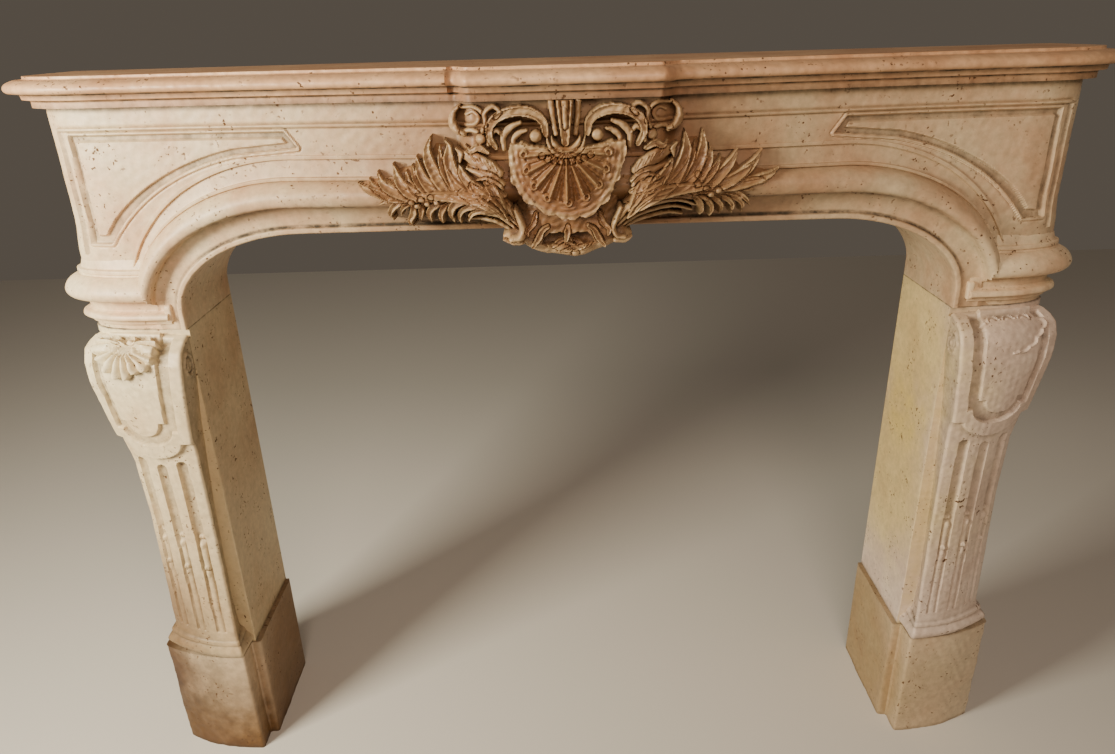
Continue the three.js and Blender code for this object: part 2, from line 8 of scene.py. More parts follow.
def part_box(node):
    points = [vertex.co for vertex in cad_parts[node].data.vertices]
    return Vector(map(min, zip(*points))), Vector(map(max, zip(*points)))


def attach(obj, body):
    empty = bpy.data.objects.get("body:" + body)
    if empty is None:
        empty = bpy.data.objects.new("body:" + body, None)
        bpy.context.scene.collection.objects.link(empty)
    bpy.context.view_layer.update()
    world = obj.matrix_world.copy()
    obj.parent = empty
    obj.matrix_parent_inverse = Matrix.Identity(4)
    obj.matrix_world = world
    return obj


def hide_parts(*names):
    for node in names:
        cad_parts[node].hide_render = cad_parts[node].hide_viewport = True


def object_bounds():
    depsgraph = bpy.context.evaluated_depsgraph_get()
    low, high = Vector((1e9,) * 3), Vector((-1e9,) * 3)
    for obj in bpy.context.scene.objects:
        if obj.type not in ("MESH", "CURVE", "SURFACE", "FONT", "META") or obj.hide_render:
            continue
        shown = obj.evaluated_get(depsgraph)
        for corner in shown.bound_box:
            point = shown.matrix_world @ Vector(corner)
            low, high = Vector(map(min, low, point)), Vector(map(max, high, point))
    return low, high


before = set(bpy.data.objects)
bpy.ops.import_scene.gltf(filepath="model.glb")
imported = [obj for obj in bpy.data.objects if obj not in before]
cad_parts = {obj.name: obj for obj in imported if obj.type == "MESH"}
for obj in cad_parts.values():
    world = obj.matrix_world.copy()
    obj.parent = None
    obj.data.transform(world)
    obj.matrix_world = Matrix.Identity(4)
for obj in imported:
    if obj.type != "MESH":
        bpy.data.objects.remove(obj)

cad_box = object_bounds()

# Room
# A plain pale floor and soft warm light, stronger from the left front. The camera stands almost in the
# middle, just above the shelf, and looks down, as the photographer did.

PHOTO_WIDTH_PIXELS = 1115
FOCAL_PIXELS = 810.2
SENSOR = 36.0
EYE = Vector((-0.018, -1.116, 1.140))
YAW, PITCH, ROLL = (math.radians(angle) for angle in (-0.072, 23.363, -1.651))
FLOOR_REACH = 3.0


def linear(code):
    """Linear colour of an sRGB hex code: c / 12.92 up to 0.04045, else ((c + 0.055) / 1.055) to the power
    2.4."""
    channels = [int(code[i:i + 2], 16) / 255 for i in (0, 2, 4)]
    return (*(c / 12.92 if c <= 0.04045 else ((c + 0.055) / 1.055) ** 2.4 for c in channels), 1.0)


def add_node(tree, kind, inputs=None, **settings):
    """Adds a node with its own settings; an input, by name or number, takes a value or a link from a
    socket."""
    new = tree.nodes.new(kind)
    for name, value in settings.items():
        setattr(new, name, value)
    for key, value in (inputs or {}).items():
        if isinstance(value, bpy.types.NodeSocket):
            tree.links.new(value, new.inputs[key])
        else:
            new.inputs[key].default_value = value
    return new


def add_camera():
    """The axes are the level right-hand way and its upright, turned together by the roll about the line of
    sight."""
    sight = Vector((math.sin(YAW) * math.cos(PITCH), math.cos(YAW) * math.cos(PITCH), -math.sin(PITCH)))
    level = Vector((math.cos(YAW), -math.sin(YAW), 0.0))
    upright = level.cross(sight)
    right = math.cos(ROLL) * level + math.sin(ROLL) * upright
    up = -math.sin(ROLL) * level + math.cos(ROLL) * upright
    data = bpy.data.cameras.new("camera")
    data.sensor_width = SENSOR
    data.lens = FOCAL_PIXELS / PHOTO_WIDTH_PIXELS * SENSOR
    camera = bpy.data.objects.new("camera", data)
    turn = Matrix((right, up, -sight)).transposed().to_4x4()
    camera.matrix_world = Matrix.Translation(EYE) @ turn
    bpy.context.scene.collection.objects.link(camera)
    bpy.context.scene.camera = camera


def add_light(name, place, target, size, power, code):
    """A square soft box that faces its target."""
    data = bpy.data.lights.new(name, "AREA")
    data.size = size
    data.energy = power
    data.color = linear(code)[:3]
    light = bpy.data.objects.new(name, data)
    light.location = place
    light.rotation_euler = (Vector(target) - Vector(place)).to_track_quat("-Z", "Y").to_euler()
    bpy.context.scene.collection.objects.link(light)


def add_room():
    world = bpy.data.worlds.new("studio")
    world.use_nodes = True
    background = world.node_tree.nodes["Background"].inputs
    background["Color"].default_value = linear("d9c8b4")
    background["Strength"].default_value = 0.14
    bpy.context.scene.world = world
    add_light("key", (-1.36, -0.86, 1.26), (-0.55, 0.0, 0.95), 0.5, 47, "fff5de")
    add_light("fill", (0.1, -1.75, 1.95), (0.1, 0.0, 0.7), 1.0, 24, "ffe6d0")
    mesh = bpy.data.meshes.new("floor")
    corners = [(FLOOR_REACH * x, FLOOR_REACH * y, 0) for x, y in ((-1, -1), (1, -1), (1, 1), (-1, 1))]
    mesh.from_pydata(corners, [], [(0, 1, 2, 3)])
    floor = bpy.data.objects.new("floor", mesh)
    bpy.context.scene.collection.objects.link(floor)
    pale = bpy.data.materials.new("pale_floor")
    pale.use_nodes = True
    shader = pale.node_tree.nodes["Principled BSDF"].inputs
    shader["Base Color"].default_value = linear("dcd8d0")
    shader["Roughness"].default_value = 0.8
    mesh.materials.append(pale)


add_room()
add_camera()

# Plinths
# Two plain blocks of the same limestone, sawn and rubbed smooth, with a bowed front and a slip that runs
# back into the opening. Their arrises are worn round, and the left one has a brown stain low on its front.

MM = 0.001
WALL_Y = cad_box[1][1] / MM
JOINT_GAP = 0.3
PLINTH_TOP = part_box("right_plinth")[1].z / MM
PLINTH_REVEAL = 534
PLINTH_IN = 549
PLINTH_OUT = 689
PLINTH_FRONT = 205
PLINTH_CORNER_DEPTH = 171
SLIP_FRONT = 169
FRONT_BOW = 2.2
WORN_ARRIS = 3


def mix(a, b, t):
    return a + (b - a) * t


def smooth(a, b, t):
    """Blend from 0 to 1 as t runs from a to b, level at both ends: k * k * (3 - 2 k)."""
    k = np.clip((t - a) / (b - a), 0, 1)
    return k * k * (3 - 2 * k)


def along(chain, t):
    """Value of a chain of (position, value) pairs at t, straight between them."""
    positions, values = zip(*chain)
    return np.interp(t, positions, values)


def rounded(corners, steps=4):
    """A line with its corners (across, up, radius) eased: each is a quadratic arc that starts and ends a
    radius away, or just under half the next side where that is shorter. The two ends stay as they are."""
    corners = np.array(corners, float)
    spots = corners[:, :2]
    before, here, after = spots[:-2], spots[1:-1], spots[2:]
    reach_in = np.linalg.norm(before - here, axis=1)
    reach_out = np.linalg.norm(after - here, axis=1)
    cut_in = np.minimum(corners[1:-1, 2], 0.48 * reach_in) / reach_in
    cut_out = np.minimum(corners[1:-1, 2], 0.48 * reach_out) / reach_out
    start = here + (before - here) * cut_in[:, None]
    end = here + (after - here) * cut_out[:, None]
    t = np.linspace(0, 1, steps)[None, :, None]
    arcs = (1 - t) ** 2 * start[:, None] + 2 * t * (1 - t) * here[:, None] + t ** 2 * end[:, None]
    return np.concatenate([spots[:1], arcs.reshape(-1, 2), spots[-1:]])


def weathering(points, wavelength, seed):
    """Gentle hollows and swellings of rubbed stone, mostly -1 to 1: a third of the sum of nine sine waves in
    seeded directions, with lengths near the given one."""
    rng = np.random.default_rng(seed)
    ways = rng.normal(size=(9, 3))
    ways *= (rng.uniform(0.7, 1.5, 9) / np.linalg.norm(ways, axis=1) * 2 * np.pi / wavelength)[:, None]
    return np.sin(points @ ways.T + rng.uniform(0, 2 * np.pi, 9)).sum(-1) / 3


def tube(rings):
    """Corners and faces of a closed body, where rings[i, j] is point j of section i; both end sections are
    filled in."""
    count, size, _ = rings.shape
    number = np.arange(count * size).reshape(count, size)
    following = np.roll(number, -1, axis=1)
    sides = np.stack([number[:-1], following[:-1], following[1:], number[1:]], axis=-1).reshape(-1, 4)
    return rings.reshape(-1, 3), [sides, number[:1, ::-1], number[-1:]]


def ring_offset(ring, amount):
    """Moves each point of closed plan rings (..., n, 2) square to the line between its neighbours."""
    way = np.roll(ring, -1, axis=-2) - np.roll(ring, 1, axis=-2)
    square = np.stack([way[..., 1], -way[..., 0]], axis=-1)
    square /= np.linalg.norm(square, axis=-1, keepdims=True) + 1e-9
    return ring + square * amount[..., None]


def stone_piece(name, points, faces, material, node, marks=None, sharp=38):
    """A mesh from points (across, depth from the wall, height) in mm and arrays of face corners, turned so
    that its volume is positive. The marks, such as dirt with painted shade, become point attributes that the
    stone reads."""
    place = np.column_stack([points[:, 0], WALL_Y - points[:, 1], points[:, 2]]) * MM
    volume = 0.0
    for corners in faces:
        first = place[corners[:, 0]][:, None]
        second, third = place[corners[:, 1:-1]], place[corners[:, 2:]]
        volume += (first * np.cross(second, third)).sum()
    if volume < 0:
        faces = [corners[:, ::-1] for corners in faces]
    sizes = np.concatenate([np.full(len(corners), corners.shape[1]) for corners in faces])
    loops = np.concatenate([corners.ravel() for corners in faces])
    mesh = bpy.data.meshes.new(name)
    mesh.vertices.add(len(place))
    mesh.vertices.foreach_set("co", place.ravel())
    mesh.loops.add(len(loops))
    mesh.loops.foreach_set("vertex_index", loops)
    mesh.polygons.add(len(sizes))
    mesh.polygons.foreach_set("loop_start", np.cumsum(sizes) - sizes)
    mesh.update(calc_edges=True)
    mesh.validate()
    for mark, values in (marks or {}).items():
        attribute = mesh.attributes.new(mark, "FLOAT", "POINT")
        attribute.data.foreach_set("value", np.ascontiguousarray(values, np.float32).ravel())
    mesh.shade_smooth()
    mesh.set_sharp_from_angle(angle=math.radians(sharp))
    mesh.materials.append(material)
    piece = bpy.data.objects.new(name, mesh)
    bpy.context.scene.collection.objects.link(piece)
    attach(piece, "root")
    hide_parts(node)


def limestone(name, cream, shade, stains_and_painted_light=()):
    """Beige shelly limestone, rubbed and waxed: cloudy cream and rose, small brown pits, olive-brown dirt in
    the quirks with painted shade in the hollows and creases, a warm brown patina that on the frieze also
    paints shade, and pale worn ridges, in part a painted highlight on the carving and painted light on the
    jamb slips. A stain is (place, radius, strength, colour); those over the reveals are painted shade on the
    left and painted light on the right."""
    material = bpy.data.materials.new(name)
    material.use_nodes = True
    tree = material.node_tree
    shader = tree.nodes["Principled BSDF"]
    place = add_node(tree, "ShaderNodeTexCoord").outputs["Object"]
    grime_and_shade, patina_and_shade, wear_and_painted_light = (
        add_node(tree, "ShaderNodeAttribute", attribute_name=mark).outputs["Fac"]
        for mark in ("grime_and_shade", "patina_and_shade", "wear_and_painted_light")
    )

    def noise(scale, detail, roughness=0.5):
        inputs = {"Vector": place, "Scale": scale, "Detail": detail, "Roughness": roughness}
        return add_node(tree, "ShaderNodeTexNoise", inputs).outputs[0]

    def ranged(*inputs, **settings):
        return add_node(tree, "ShaderNodeMapRange", dict(enumerate(inputs)), **settings).outputs[0]

    def maths(operation, *inputs, **settings):
        settings["operation"] = operation
        return add_node(tree, "ShaderNodeMath", dict(enumerate(inputs)), **settings).outputs[0]

    def blend(factor, under, over, kind="MIX"):
        inputs = {0: factor, 6: under, 7: over}
        return add_node(tree, "ShaderNodeMix", inputs, data_type="RGBA", blend_type=kind).outputs[2]

    # Clouds about 90 mm across, mottling of 9 mm and grains of 1.5 mm, which a saw and rubbing bring out
    clouds = noise(11.0, 5.0, 0.62)
    mottle = noise(110.0, 4.0, 0.6)
    grain = noise(650.0, 2.0)
    colour = blend(ranged(clouds, 0.36, 0.66), linear(cream), linear(shade))
    colour = blend(1.0, colour, ranged(mottle, 0.3, 0.7, 0.84, 1.1), "MULTIPLY")

    # Patina of smoke, wax and hands, deepest on the centre carving, with painted shade across the frieze, and
    # the stains, with painted shade over the left reveals and painted yellow light over the right ones
    colour = blend(patina_and_shade, colour, linear("957860"), "MULTIPLY")
    for centre, radius, strength, code in stains_and_painted_light:
        away = add_node(tree, "ShaderNodeVectorMath", {0: place, 1: centre}, operation="DISTANCE")
        edge = maths("ADD", away.outputs["Value"], maths("MULTIPLY", clouds, 0.6 * radius))
        cover = ranged(edge, 1.15 * radius, 0.6 * radius, 0.0, strength, interpolation_type="SMOOTHSTEP")
        colour = blend(cover, colour, linear(code), "MULTIPLY")

    # Dirt that settled in the quirks, with painted shade in the hollows and creases, and ridges rubbed pale,
    # with a painted highlight on the carving and painted light on the jamb slips, both ragged
    broken = ranged(noise(42.0, 7.0, 0.72), 0.35, 0.62, 0.35, 1.3)
    dirt_and_shade = maths("MULTIPLY", grime_and_shade, broken, use_clamp=True)
    colour = blend(dirt_and_shade, colour, linear("41372a"))
    colour = blend(maths("MULTIPLY", wear_and_painted_light, broken, use_clamp=True), colour, linear("dcc79a"))

    # Pits left by lost shell, 1 to 3 mm across and gathered in patches
    pit = maths("MULTIPLY", ranged(noise(210.0, 1.5, 0.4), 0.65, 0.7), ranged(noise(24.0, 2.0), 0.48, 0.62))
    tree.links.new(blend(pit, colour, linear("5b3d22")), shader.inputs["Base Color"])

    # Waxed where hands and dusters reach, dull in the pits and in the dirt and painted shade
    gloss = ranged(maths("MAXIMUM", pit, dirt_and_shade), 0.0, 1.0, 0.46, 0.8)
    tree.links.new(gloss, shader.inputs["Roughness"])
    fine = maths("MULTIPLY_ADD", mottle, 0.35, maths("MULTIPLY", grain, 0.12))
    height = maths("SUBTRACT", fine, pit)
    bump = add_node(tree, "ShaderNodeBump", {"Height": height, "Strength": 0.6, "Distance": 0.0008})
    tree.links.new(bump.outputs[0], shader.inputs["Normal"])
    return material


plinth_stone = limestone(
    "waxed_limestone_plinths", "d8c6a8", "cab090",
    [
        # The brown and yellow stains low on the left front are the stone's own; the patch over the left
        # reveal is painted shade and the one over the right reveal painted yellow light.
        ((-0.73, -0.07, -0.03), 0.34, 1.0, "7f6438"), ((-0.73, -0.05, 0.15), 0.16, 1.0, "86694a"),
        ((-0.56, -0.1, -0.06), 0.22, 0.9, "d8b45c"), ((-0.49, 0.09, 0.08), 0.32, 0.95, "a08a72"),
        ((0.49, 0.09, 0.08), 0.3, 0.8, "b8a67c"),
    ],
)


def plinth_plan():
    """Closed plan line: up the reveal, round the slip, along the bow and back to the wall."""
    u = np.linspace(0, 1, 60)
    depth = mix(PLINTH_FRONT, PLINTH_CORNER_DEPTH, u ** FRONT_BOW)
    bow = np.column_stack([mix(PLINTH_IN, PLINTH_OUT, u), depth])
    reveal = np.column_stack([np.full(20, PLINTH_REVEAL), np.linspace(0, SLIP_FRONT - 6, 20)])
    slip = rounded([
        (PLINTH_REVEAL, SLIP_FRONT - 6, 0), (PLINTH_REVEAL, SLIP_FRONT, 5), (PLINTH_IN - 3, SLIP_FRONT, 0),
    ])
    inner = np.column_stack([np.full(8, PLINTH_IN), np.linspace(SLIP_FRONT + 3, PLINTH_FRONT - 7, 8)])
    nose = rounded([(PLINTH_IN, PLINTH_FRONT - 7, 0), (PLINTH_IN, PLINTH_FRONT, 5), (*bow[3], 0)])[1:-1]
    corner = rounded([
        (*bow[-4], 0), (PLINTH_OUT, PLINTH_CORNER_DEPTH, 5), (PLINTH_OUT, PLINTH_CORNER_DEPTH - 8, 0),
    ])[1:-1]
    outer = np.column_stack([np.full(20, PLINTH_OUT), np.linspace(PLINTH_CORNER_DEPTH - 8, 0, 20)])
    return np.concatenate([reveal[:-1], slip, inner, nose, bow[4:-4], corner, outer])


def plinth_rings(seed):
    """The plan at 60 levels, rubbed hollow by half a millimetre and drawn in at the worn top arris."""
    arris = PLINTH_TOP - WORN_ARRIS * (1 - np.sin(np.linspace(0.2, 1.5, 6)))
    levels = np.concatenate([np.linspace(0, PLINTH_TOP - WORN_ARRIS, 54), arris])
    levels[-1] = PLINTH_TOP
    plan = plinth_plan()
    rings = np.empty((len(levels), len(plan), 3))
    rings[..., 0], rings[..., 1] = plan[:, 0], plan[:, 1]
    rings[..., 2] = levels[:, None]
    drawn = 1.2 * np.clip((levels - PLINTH_TOP + WORN_ARRIS) / WORN_ARRIS, 0, 1) ** 3
    hollow = 0.45 * (weathering(rings, 70, seed) - 1) + 0.3 * (weathering(rings, 17, seed + 1) - 1)
    amount = (hollow - drawn[:, None]) * (plan[:, 1] > 1)
    rings[..., :2] = ring_offset(rings[..., :2], amount)
    rings[..., 1] = np.maximum(rings[..., 1], 0)
    return rings


def mirrored(points, side):
    """The same points on the side wanted: 1 is the right of the opening, -1 the left."""
    return points * np.array([side, 1, 1])


SIDES = [("left", -1), ("right", 1)]

for number, (hand, side) in enumerate(SIDES):
    points, faces = tube(plinth_rings(10 + number))
    grime_and_shade = 0.35 * smooth(PLINTH_TOP - 4, PLINTH_TOP, points[:, 2]) + 0.5 * smooth(9, 0, points[:, 2])
    stone_piece(
        f"{hand}_plinth_block", mirrored(points, side), faces, plinth_stone, f"{hand}_plinth",
        {"grime_and_shade": grime_and_shade},
    )

# Jambs
# A console leg on each side, carved from one block: a torus foot, three flutes filled with cables low down,
# a shield with a sunk channel, a small shell under the abacus, and a flat slip and reveal behind.

REVEAL_HALF = 540
TORUS_TOP = 244
ABACUS_LOW = 748
JAMB_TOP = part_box("right_jamb")[1].z / MM
INNER_ARRIS = [(203, 549), (240, 552), (600, 547), (702, 540.2), (762, 540.2)]
SLIP_ARRIS = [(203, 549), (240, 562), (300, 564), (480, 558), (620, 549), (704, 540.2), (762, 540.2)]
OUTER_SIDE = [
    (TORUS_TOP, 671), (450, 667), (550, 668), (600, 674), (650, 682), (700, 689), (735, 691), (742, 688),
    (ABACUS_LOW, 682),
]
FRONT_INNER = [
    (TORUS_TOP, 206), (420, 204), (560, 206), (620, 210), (690, 211), (720, 206), (735, 197), (744, 182),
    (ABACUS_LOW, 168),
]
FRONT_OUTER = [
    (TORUS_TOP, 163), (450, 160), (550, 163), (620, 172), (690, 178), (720, 175), (735, 166),
    (ABACUS_LOW, 148),
]
TORUS = [
    (PLINTH_TOP + JOINT_GAP, 3, 0), (205, 6, 2), (215, 13.5, 7), (224, 7.5, 3), (226.5, 5, 0.6), (229, 6, 2),
    (234, 6, 2), (237, 1.5, 2), (TORUS_TOP, 0, 0),
]
FOOT_QUIRKS = [(224, 227, 230), (234, 237, 241)]
FLUTES = [575, 610, 645]
FLUTE_TOPS = [569, 560, 566]
FLUTE_HALF = 8.5
FLUTE_DEPTH = 7.5
CABLE_TOP = 425
CABLE_RISE = 5.4
HUSK_TOPS = [432, 378]
SHIELD_FOOT = 574
SHOULDER_Z = 712
LEVEL_STEP = 1.3
VOLUTE_DEPTH = 190
VOLUTE_Z = 716


def signed_distance(x, z, outline):
    """Distance of each grid point from a closed outline of (x, z) corners, positive inside: the least
    distance to its sides, with the sign from how often a level ray crosses them."""
    start = np.array(outline, float)
    end = np.roll(start, -1, axis=0)
    least = np.full(x.shape, 1e9)
    inside = np.zeros(x.shape, bool)
    for (ax, az), (bx, bz) in zip(start, end):
        wide, high = bx - ax, bz - az
        t = np.clip(((x - ax) * wide + (z - az) * high) / (wide * wide + high * high + 1e-12), 0, 1)
        least = np.minimum(least, (x - ax - t * wide) ** 2 + (z - az - t * high) ** 2)
        if az != bz:
            crossed = ((az > z) != (bz > z)) & (x < ax + (z - az) * wide / high)
            inside ^= crossed
    return np.where(inside, 1, -1) * np.sqrt(least)


def shield_outline(margins, top, ear, foot):
    """Sides that follow the console, each at its margin, down to square ears, then a half round foot."""
    levels = np.linspace(top, ear, 12)
    inner = along(INNER_ARRIS, levels) + margins[0]
    outer = along(OUTER_SIDE, levels) - margins[1]
    reach = (outer[-1] - inner[-1]) / 2 - 9
    middle = (outer[-1] + inner[-1]) / 2
    angle = np.linspace(math.pi, 0, 20)
    round_foot = np.column_stack([middle + reach * np.cos(angle), ear - (ear - foot) * np.sin(angle)])
    down = np.column_stack([inner, levels])
    return np.concatenate([down, round_foot, np.column_stack([outer, levels])[::-1]])


def fluting(x, z):
    """Relief of the three flutes: hollow grooves with round heads, and below the husks a low cable in
    each."""
    relief = np.zeros_like(x)
    for middle, top in zip(FLUTES, FLUTE_TOPS):
        across = x - middle
        over = np.maximum(0, z - (top - FLUTE_HALF))
        radius = np.hypot(across, over)
        under = z > TORUS_TOP + 8
        hollow = np.sqrt(np.clip(1 - (radius / FLUTE_HALF) ** 2, 0, 1)) ** 0.55 * under
        filled = smooth(CABLE_TOP + 4, CABLE_TOP - 6, z)
        cable = np.sqrt(np.clip(1 - (across / (0.62 * FLUTE_HALF)) ** 2, 0, 1))
        shallow = mix(1.0, 0.45, smooth(380, 260, z))
        groove = FLUTE_DEPTH * hollow * mix(1, 0.85 * shallow, filled)
        relief += -groove + CABLE_RISE * cable * filled * under * shallow
        for husk_top in HUSK_TOPS:
            bud = np.hypot(across / 6.5, (z - husk_top) / 5)
            frill = 1 + 0.25 * np.sin(across * 1.4 + husk_top)
            drop = np.hypot((across - 1) / 4.5, (z - husk_top + 12) / 8)
            relief += 4.0 * np.clip(1 - bud ** 2, 0, 1) * frill + 2.2 * np.clip(1 - drop ** 2, 0, 1)
    return relief


def shoulder_arc(z):
    """Length in mm along the console's front from the abacus down to a height: the sum of sqrt(dz^2 +
    dd^2)."""
    heights, depths = (np.array(values, float) for values in zip(*FRONT_INNER))
    down = np.concatenate([[0], np.cumsum(np.hypot(np.diff(heights[::-1]), np.diff(depths[::-1])))])
    return np.interp(z, heights, down[::-1])


def console_shell(x, z, worn):
    """Height of the small shell and the buds over it: nine rods that spread from the hub to a scalloped
    edge. It lies over the shoulder, so it is drawn in x and the length along the front. Wear leaves a soft
    swelling of it."""
    hub_x, hub_down, radius, ribs = 618, 26, 41, 9
    across, down = 0.8 * (x - hub_x), shoulder_arc(z) - hub_down
    away = np.hypot(across, down)
    turn = np.arctan2(down, across) / math.pi
    rods = np.abs(np.sin(math.pi * turn * ribs)) ** 0.8
    edge = radius * (0.95 + 0.07 * rods + 0.04 * np.sin(17 * turn + 1))
    edge = edge - 6 * smooth(0.0, 0.25, -across / radius)
    k = np.clip(away / radius, 0, 1)
    inside = smooth(edge + 1.5, edge - 1.0, away) * (down > -5)
    shell = inside * (4.5 + 5 * (1 - k ** 2) + 8.5 * rods * smooth(0.1, 0.4, k))
    lip = 3.5 * np.exp(-((away - edge + 1) / 1.8) ** 2) * (turn < 0.5) * (down > -3)
    soft = inside * (2.5 + 4.5 * (1 - k ** 2)) + lip
    height = mix(shell, soft, worn)
    for place, size in ((-21, 8.5), (-3, 9), (16, 9)):
        away = np.hypot((across - place) / size, (down + 6) / 9.5)
        rim = np.exp(-((away - 0.85) / 0.16) ** 2)
        bud = np.sqrt(np.clip(1 - (away / 0.55) ** 2, 0, 1))
        height = np.maximum(height, (1 - 0.55 * worn) * (9 * rim + (5 + 8 * bud) * (away < 0.85)))
    return height


def console_relief(x, z, worn):
    """Relief of the jamb front: fluting below, and above it the shield: border, sunk channel, raised field,
    shell."""
    relief = fluting(x, z) * mix(1, 0.75, worn)
    border = signed_distance(x, z, shield_outline((7, 7), 790, 604, SHIELD_FOOT))
    on = np.maximum(smooth(-0.6, 1.6, border), smooth(600, 603, z))
    channel = signed_distance(x, z, shield_outline((19, 17), 746, 621, 597))
    field = signed_distance(x, z, shield_outline((36, 28), 790, 634, 611))
    ledge = 2.5 * smooth(594, 598, z) * (x < 575)
    shape = 6 - 6.5 * smooth(-0.8, 1.0, channel) + 5.2 * smooth(-0.8, 1.2, field)
    relief = np.where(on > 0, mix(relief + ledge, shape, on), relief)
    shell = console_shell(x, z, worn)
    return np.where(shell > 0.6, np.maximum(relief, shell + 1.5), relief)


def jamb_levels():
    """Heights of the sections: along the torus, then evenly apart, and closer where the shoulder rolls
    back."""
    shaft = np.arange(TORUS_TOP + LEVEL_STEP, SHOULDER_Z, LEVEL_STEP)
    arc = np.linspace(shoulder_arc(SHOULDER_Z), 0, 50)
    heights = np.linspace(SHOULDER_Z, ABACUS_LOW, 400)
    shoulder = np.interp(-arc, -shoulder_arc(heights), heights)
    foot = rounded(TORUS, 4)
    return np.concatenate([foot[:, 0], shaft, shoulder]), foot


def jamb_rings(seed, worn):
    """Sections of the jamb, one above the other: reveal, slip, inner side of the console, bowed and carved
    front and outer side. The front depth is mix(inner, outer, u to the power 2.2); the relief stands square
    to it."""
    levels, foot_line = jamb_levels()
    count = len(levels)
    foot = np.interp(levels, foot_line[:, 0], foot_line[:, 1])
    inner = along(INNER_ARRIS, levels) - 0.3 * foot
    outer = along(OUTER_SIDE, levels) + 1.4 * foot
    u = np.linspace(0, 1, 104)
    x = mix(inner[:, None], outer[:, None], u)
    z = np.broadcast_to(levels[:, None], x.shape)
    base = mix(along(FRONT_INNER, levels)[:, None], along(FRONT_OUTER, levels)[:, None], u ** FRONT_BOW)
    base = base + 0.6 * foot[:, None]
    arris = np.minimum(x - inner[:, None], outer[:, None] - x)
    relief = console_relief(x, z, worn) - 3.0 * (1 - np.clip(arris / 4, 0, 1)) ** 2
    lean = -np.gradient(base, axis=1) / np.gradient(x, axis=1)
    rake = -np.gradient(base, axis=0) / np.gradient(z, axis=0) * (levels[:, None] > TORUS_TOP + 3)
    length = np.sqrt(1 + lean ** 2 + rake ** 2)
    front = np.stack([x + relief * lean / length, base + relief / length, z + relief * rake / length], -1)

    # Reveal, slip, inner side with the ring of its volute, and outer side
    reveal = np.empty((count, 26, 3))
    reveal[..., 0] = REVEAL_HALF
    reveal[..., 1] = np.linspace(0, SLIP_FRONT - 1.2, 26)
    reveal[..., 2] = levels[:, None]
    slip = np.empty((count, 4, 3))
    behind = along(SLIP_ARRIS, levels) - 0.9 * foot * smooth(PLINTH_TOP, PLINTH_TOP + 6, levels)
    slip[..., 0] = mix(REVEAL_HALF, behind[:, None], np.linspace(0.05, 0.97, 4))
    slip[..., 1] = SLIP_FRONT
    slip[..., 2] = levels[:, None]
    back = np.linspace(0, 1, 17)[:-1, None]
    side = mix(np.stack([behind, np.full(count, SLIP_FRONT + 0.3), levels], -1)[:, None], front[:, :1], back)
    disc = np.hypot((side[..., 1] - VOLUTE_DEPTH) / 13, (side[..., 2] - VOLUTE_Z) / 19)
    side[..., 0] -= 3.2 * (np.exp(-((disc - 0.85) / 0.12) ** 2) + 0.8 * np.exp(-((disc - 0.4) / 0.12) ** 2))
    at_wall = np.stack([outer, np.zeros(count), levels], -1)[:, None]
    wall = mix(front[:, -1:], at_wall, np.linspace(0, 1, 23)[1:, None])
    rings = np.concatenate([reveal, slip, side, front, wall], axis=1)
    rubbed = 0.35 * weathering(rings, 60, seed) + 0.2 * weathering(rings, 13, seed + 1)
    rings[..., 1] += rubbed * (rings[..., 1] > SLIP_FRONT - 30)

    # Painted shade in the flutes and the shield's channel; the inner side darker above the foot and in the
    # volute's groove; a dark joint over the plinth and dark lines in the foot's quirks; and painted light
    # along the slip, which the console shades
    slip_at, side_at, front_at, wall_at = np.cumsum([part.shape[1] for part in (reveal, slip, side, front)])
    grime_and_shade = np.zeros(rings.shape[:2])
    grime_and_shade[:, front_at:wall_at] = np.minimum(hollows(relief, 7) * 0.13, 0.55)
    grime_and_shade[:, side_at:front_at] += 0.34 * smooth(PLINTH_TOP, PLINTH_TOP + 30, levels)[:, None]
    grime_and_shade[:, side_at:front_at] += 0.4 * np.exp(-((disc - 0.62) / 0.1) ** 2)
    grime_and_shade += 0.5 * smooth(PLINTH_TOP + 5, PLINTH_TOP + 1, levels)[:, None]
    lines = sum(np.interp(levels, heights, [0, 1, 0]) for heights in FOOT_QUIRKS)
    grime_and_shade[:, side_at:] += 0.35 * lines[:, None]
    wear_and_painted_light = np.zeros(rings.shape[:2])
    # Painted light: the slip is made paler, as if lit.
    wear_and_painted_light[:, slip_at:side_at] = 0.5
    return rings, {"grime_and_shade": grime_and_shade.ravel(), "wear_and_painted_light": wear_and_painted_light.ravel()}


def blurred(field, reach):
    """Mean of each value's neighbours within a reach in grid steps, taken three times along rows and
    columns, which comes close to a bell-shaped blur."""
    for axis in (0, 1):
        for _ in range(3):
            first = np.repeat(field.take([0], axis), reach + 1, axis)
            last = np.repeat(field.take([-1], axis), reach, axis)
            padded = np.concatenate([first, field, last], axis)
            total = np.cumsum(padded, axis)
            length = field.shape[axis]
            upper = total.take(np.arange(length) + 2 * reach + 1, axis)
            lower = total.take(np.arange(length), axis)
            field = (upper - lower) / (2 * reach + 1)
    return field


def hollows(depth, reach):
    """How far each point lies below its surroundings, in mm, and 0 on ridges."""
    return np.maximum(0, blurred(depth, reach) - depth)


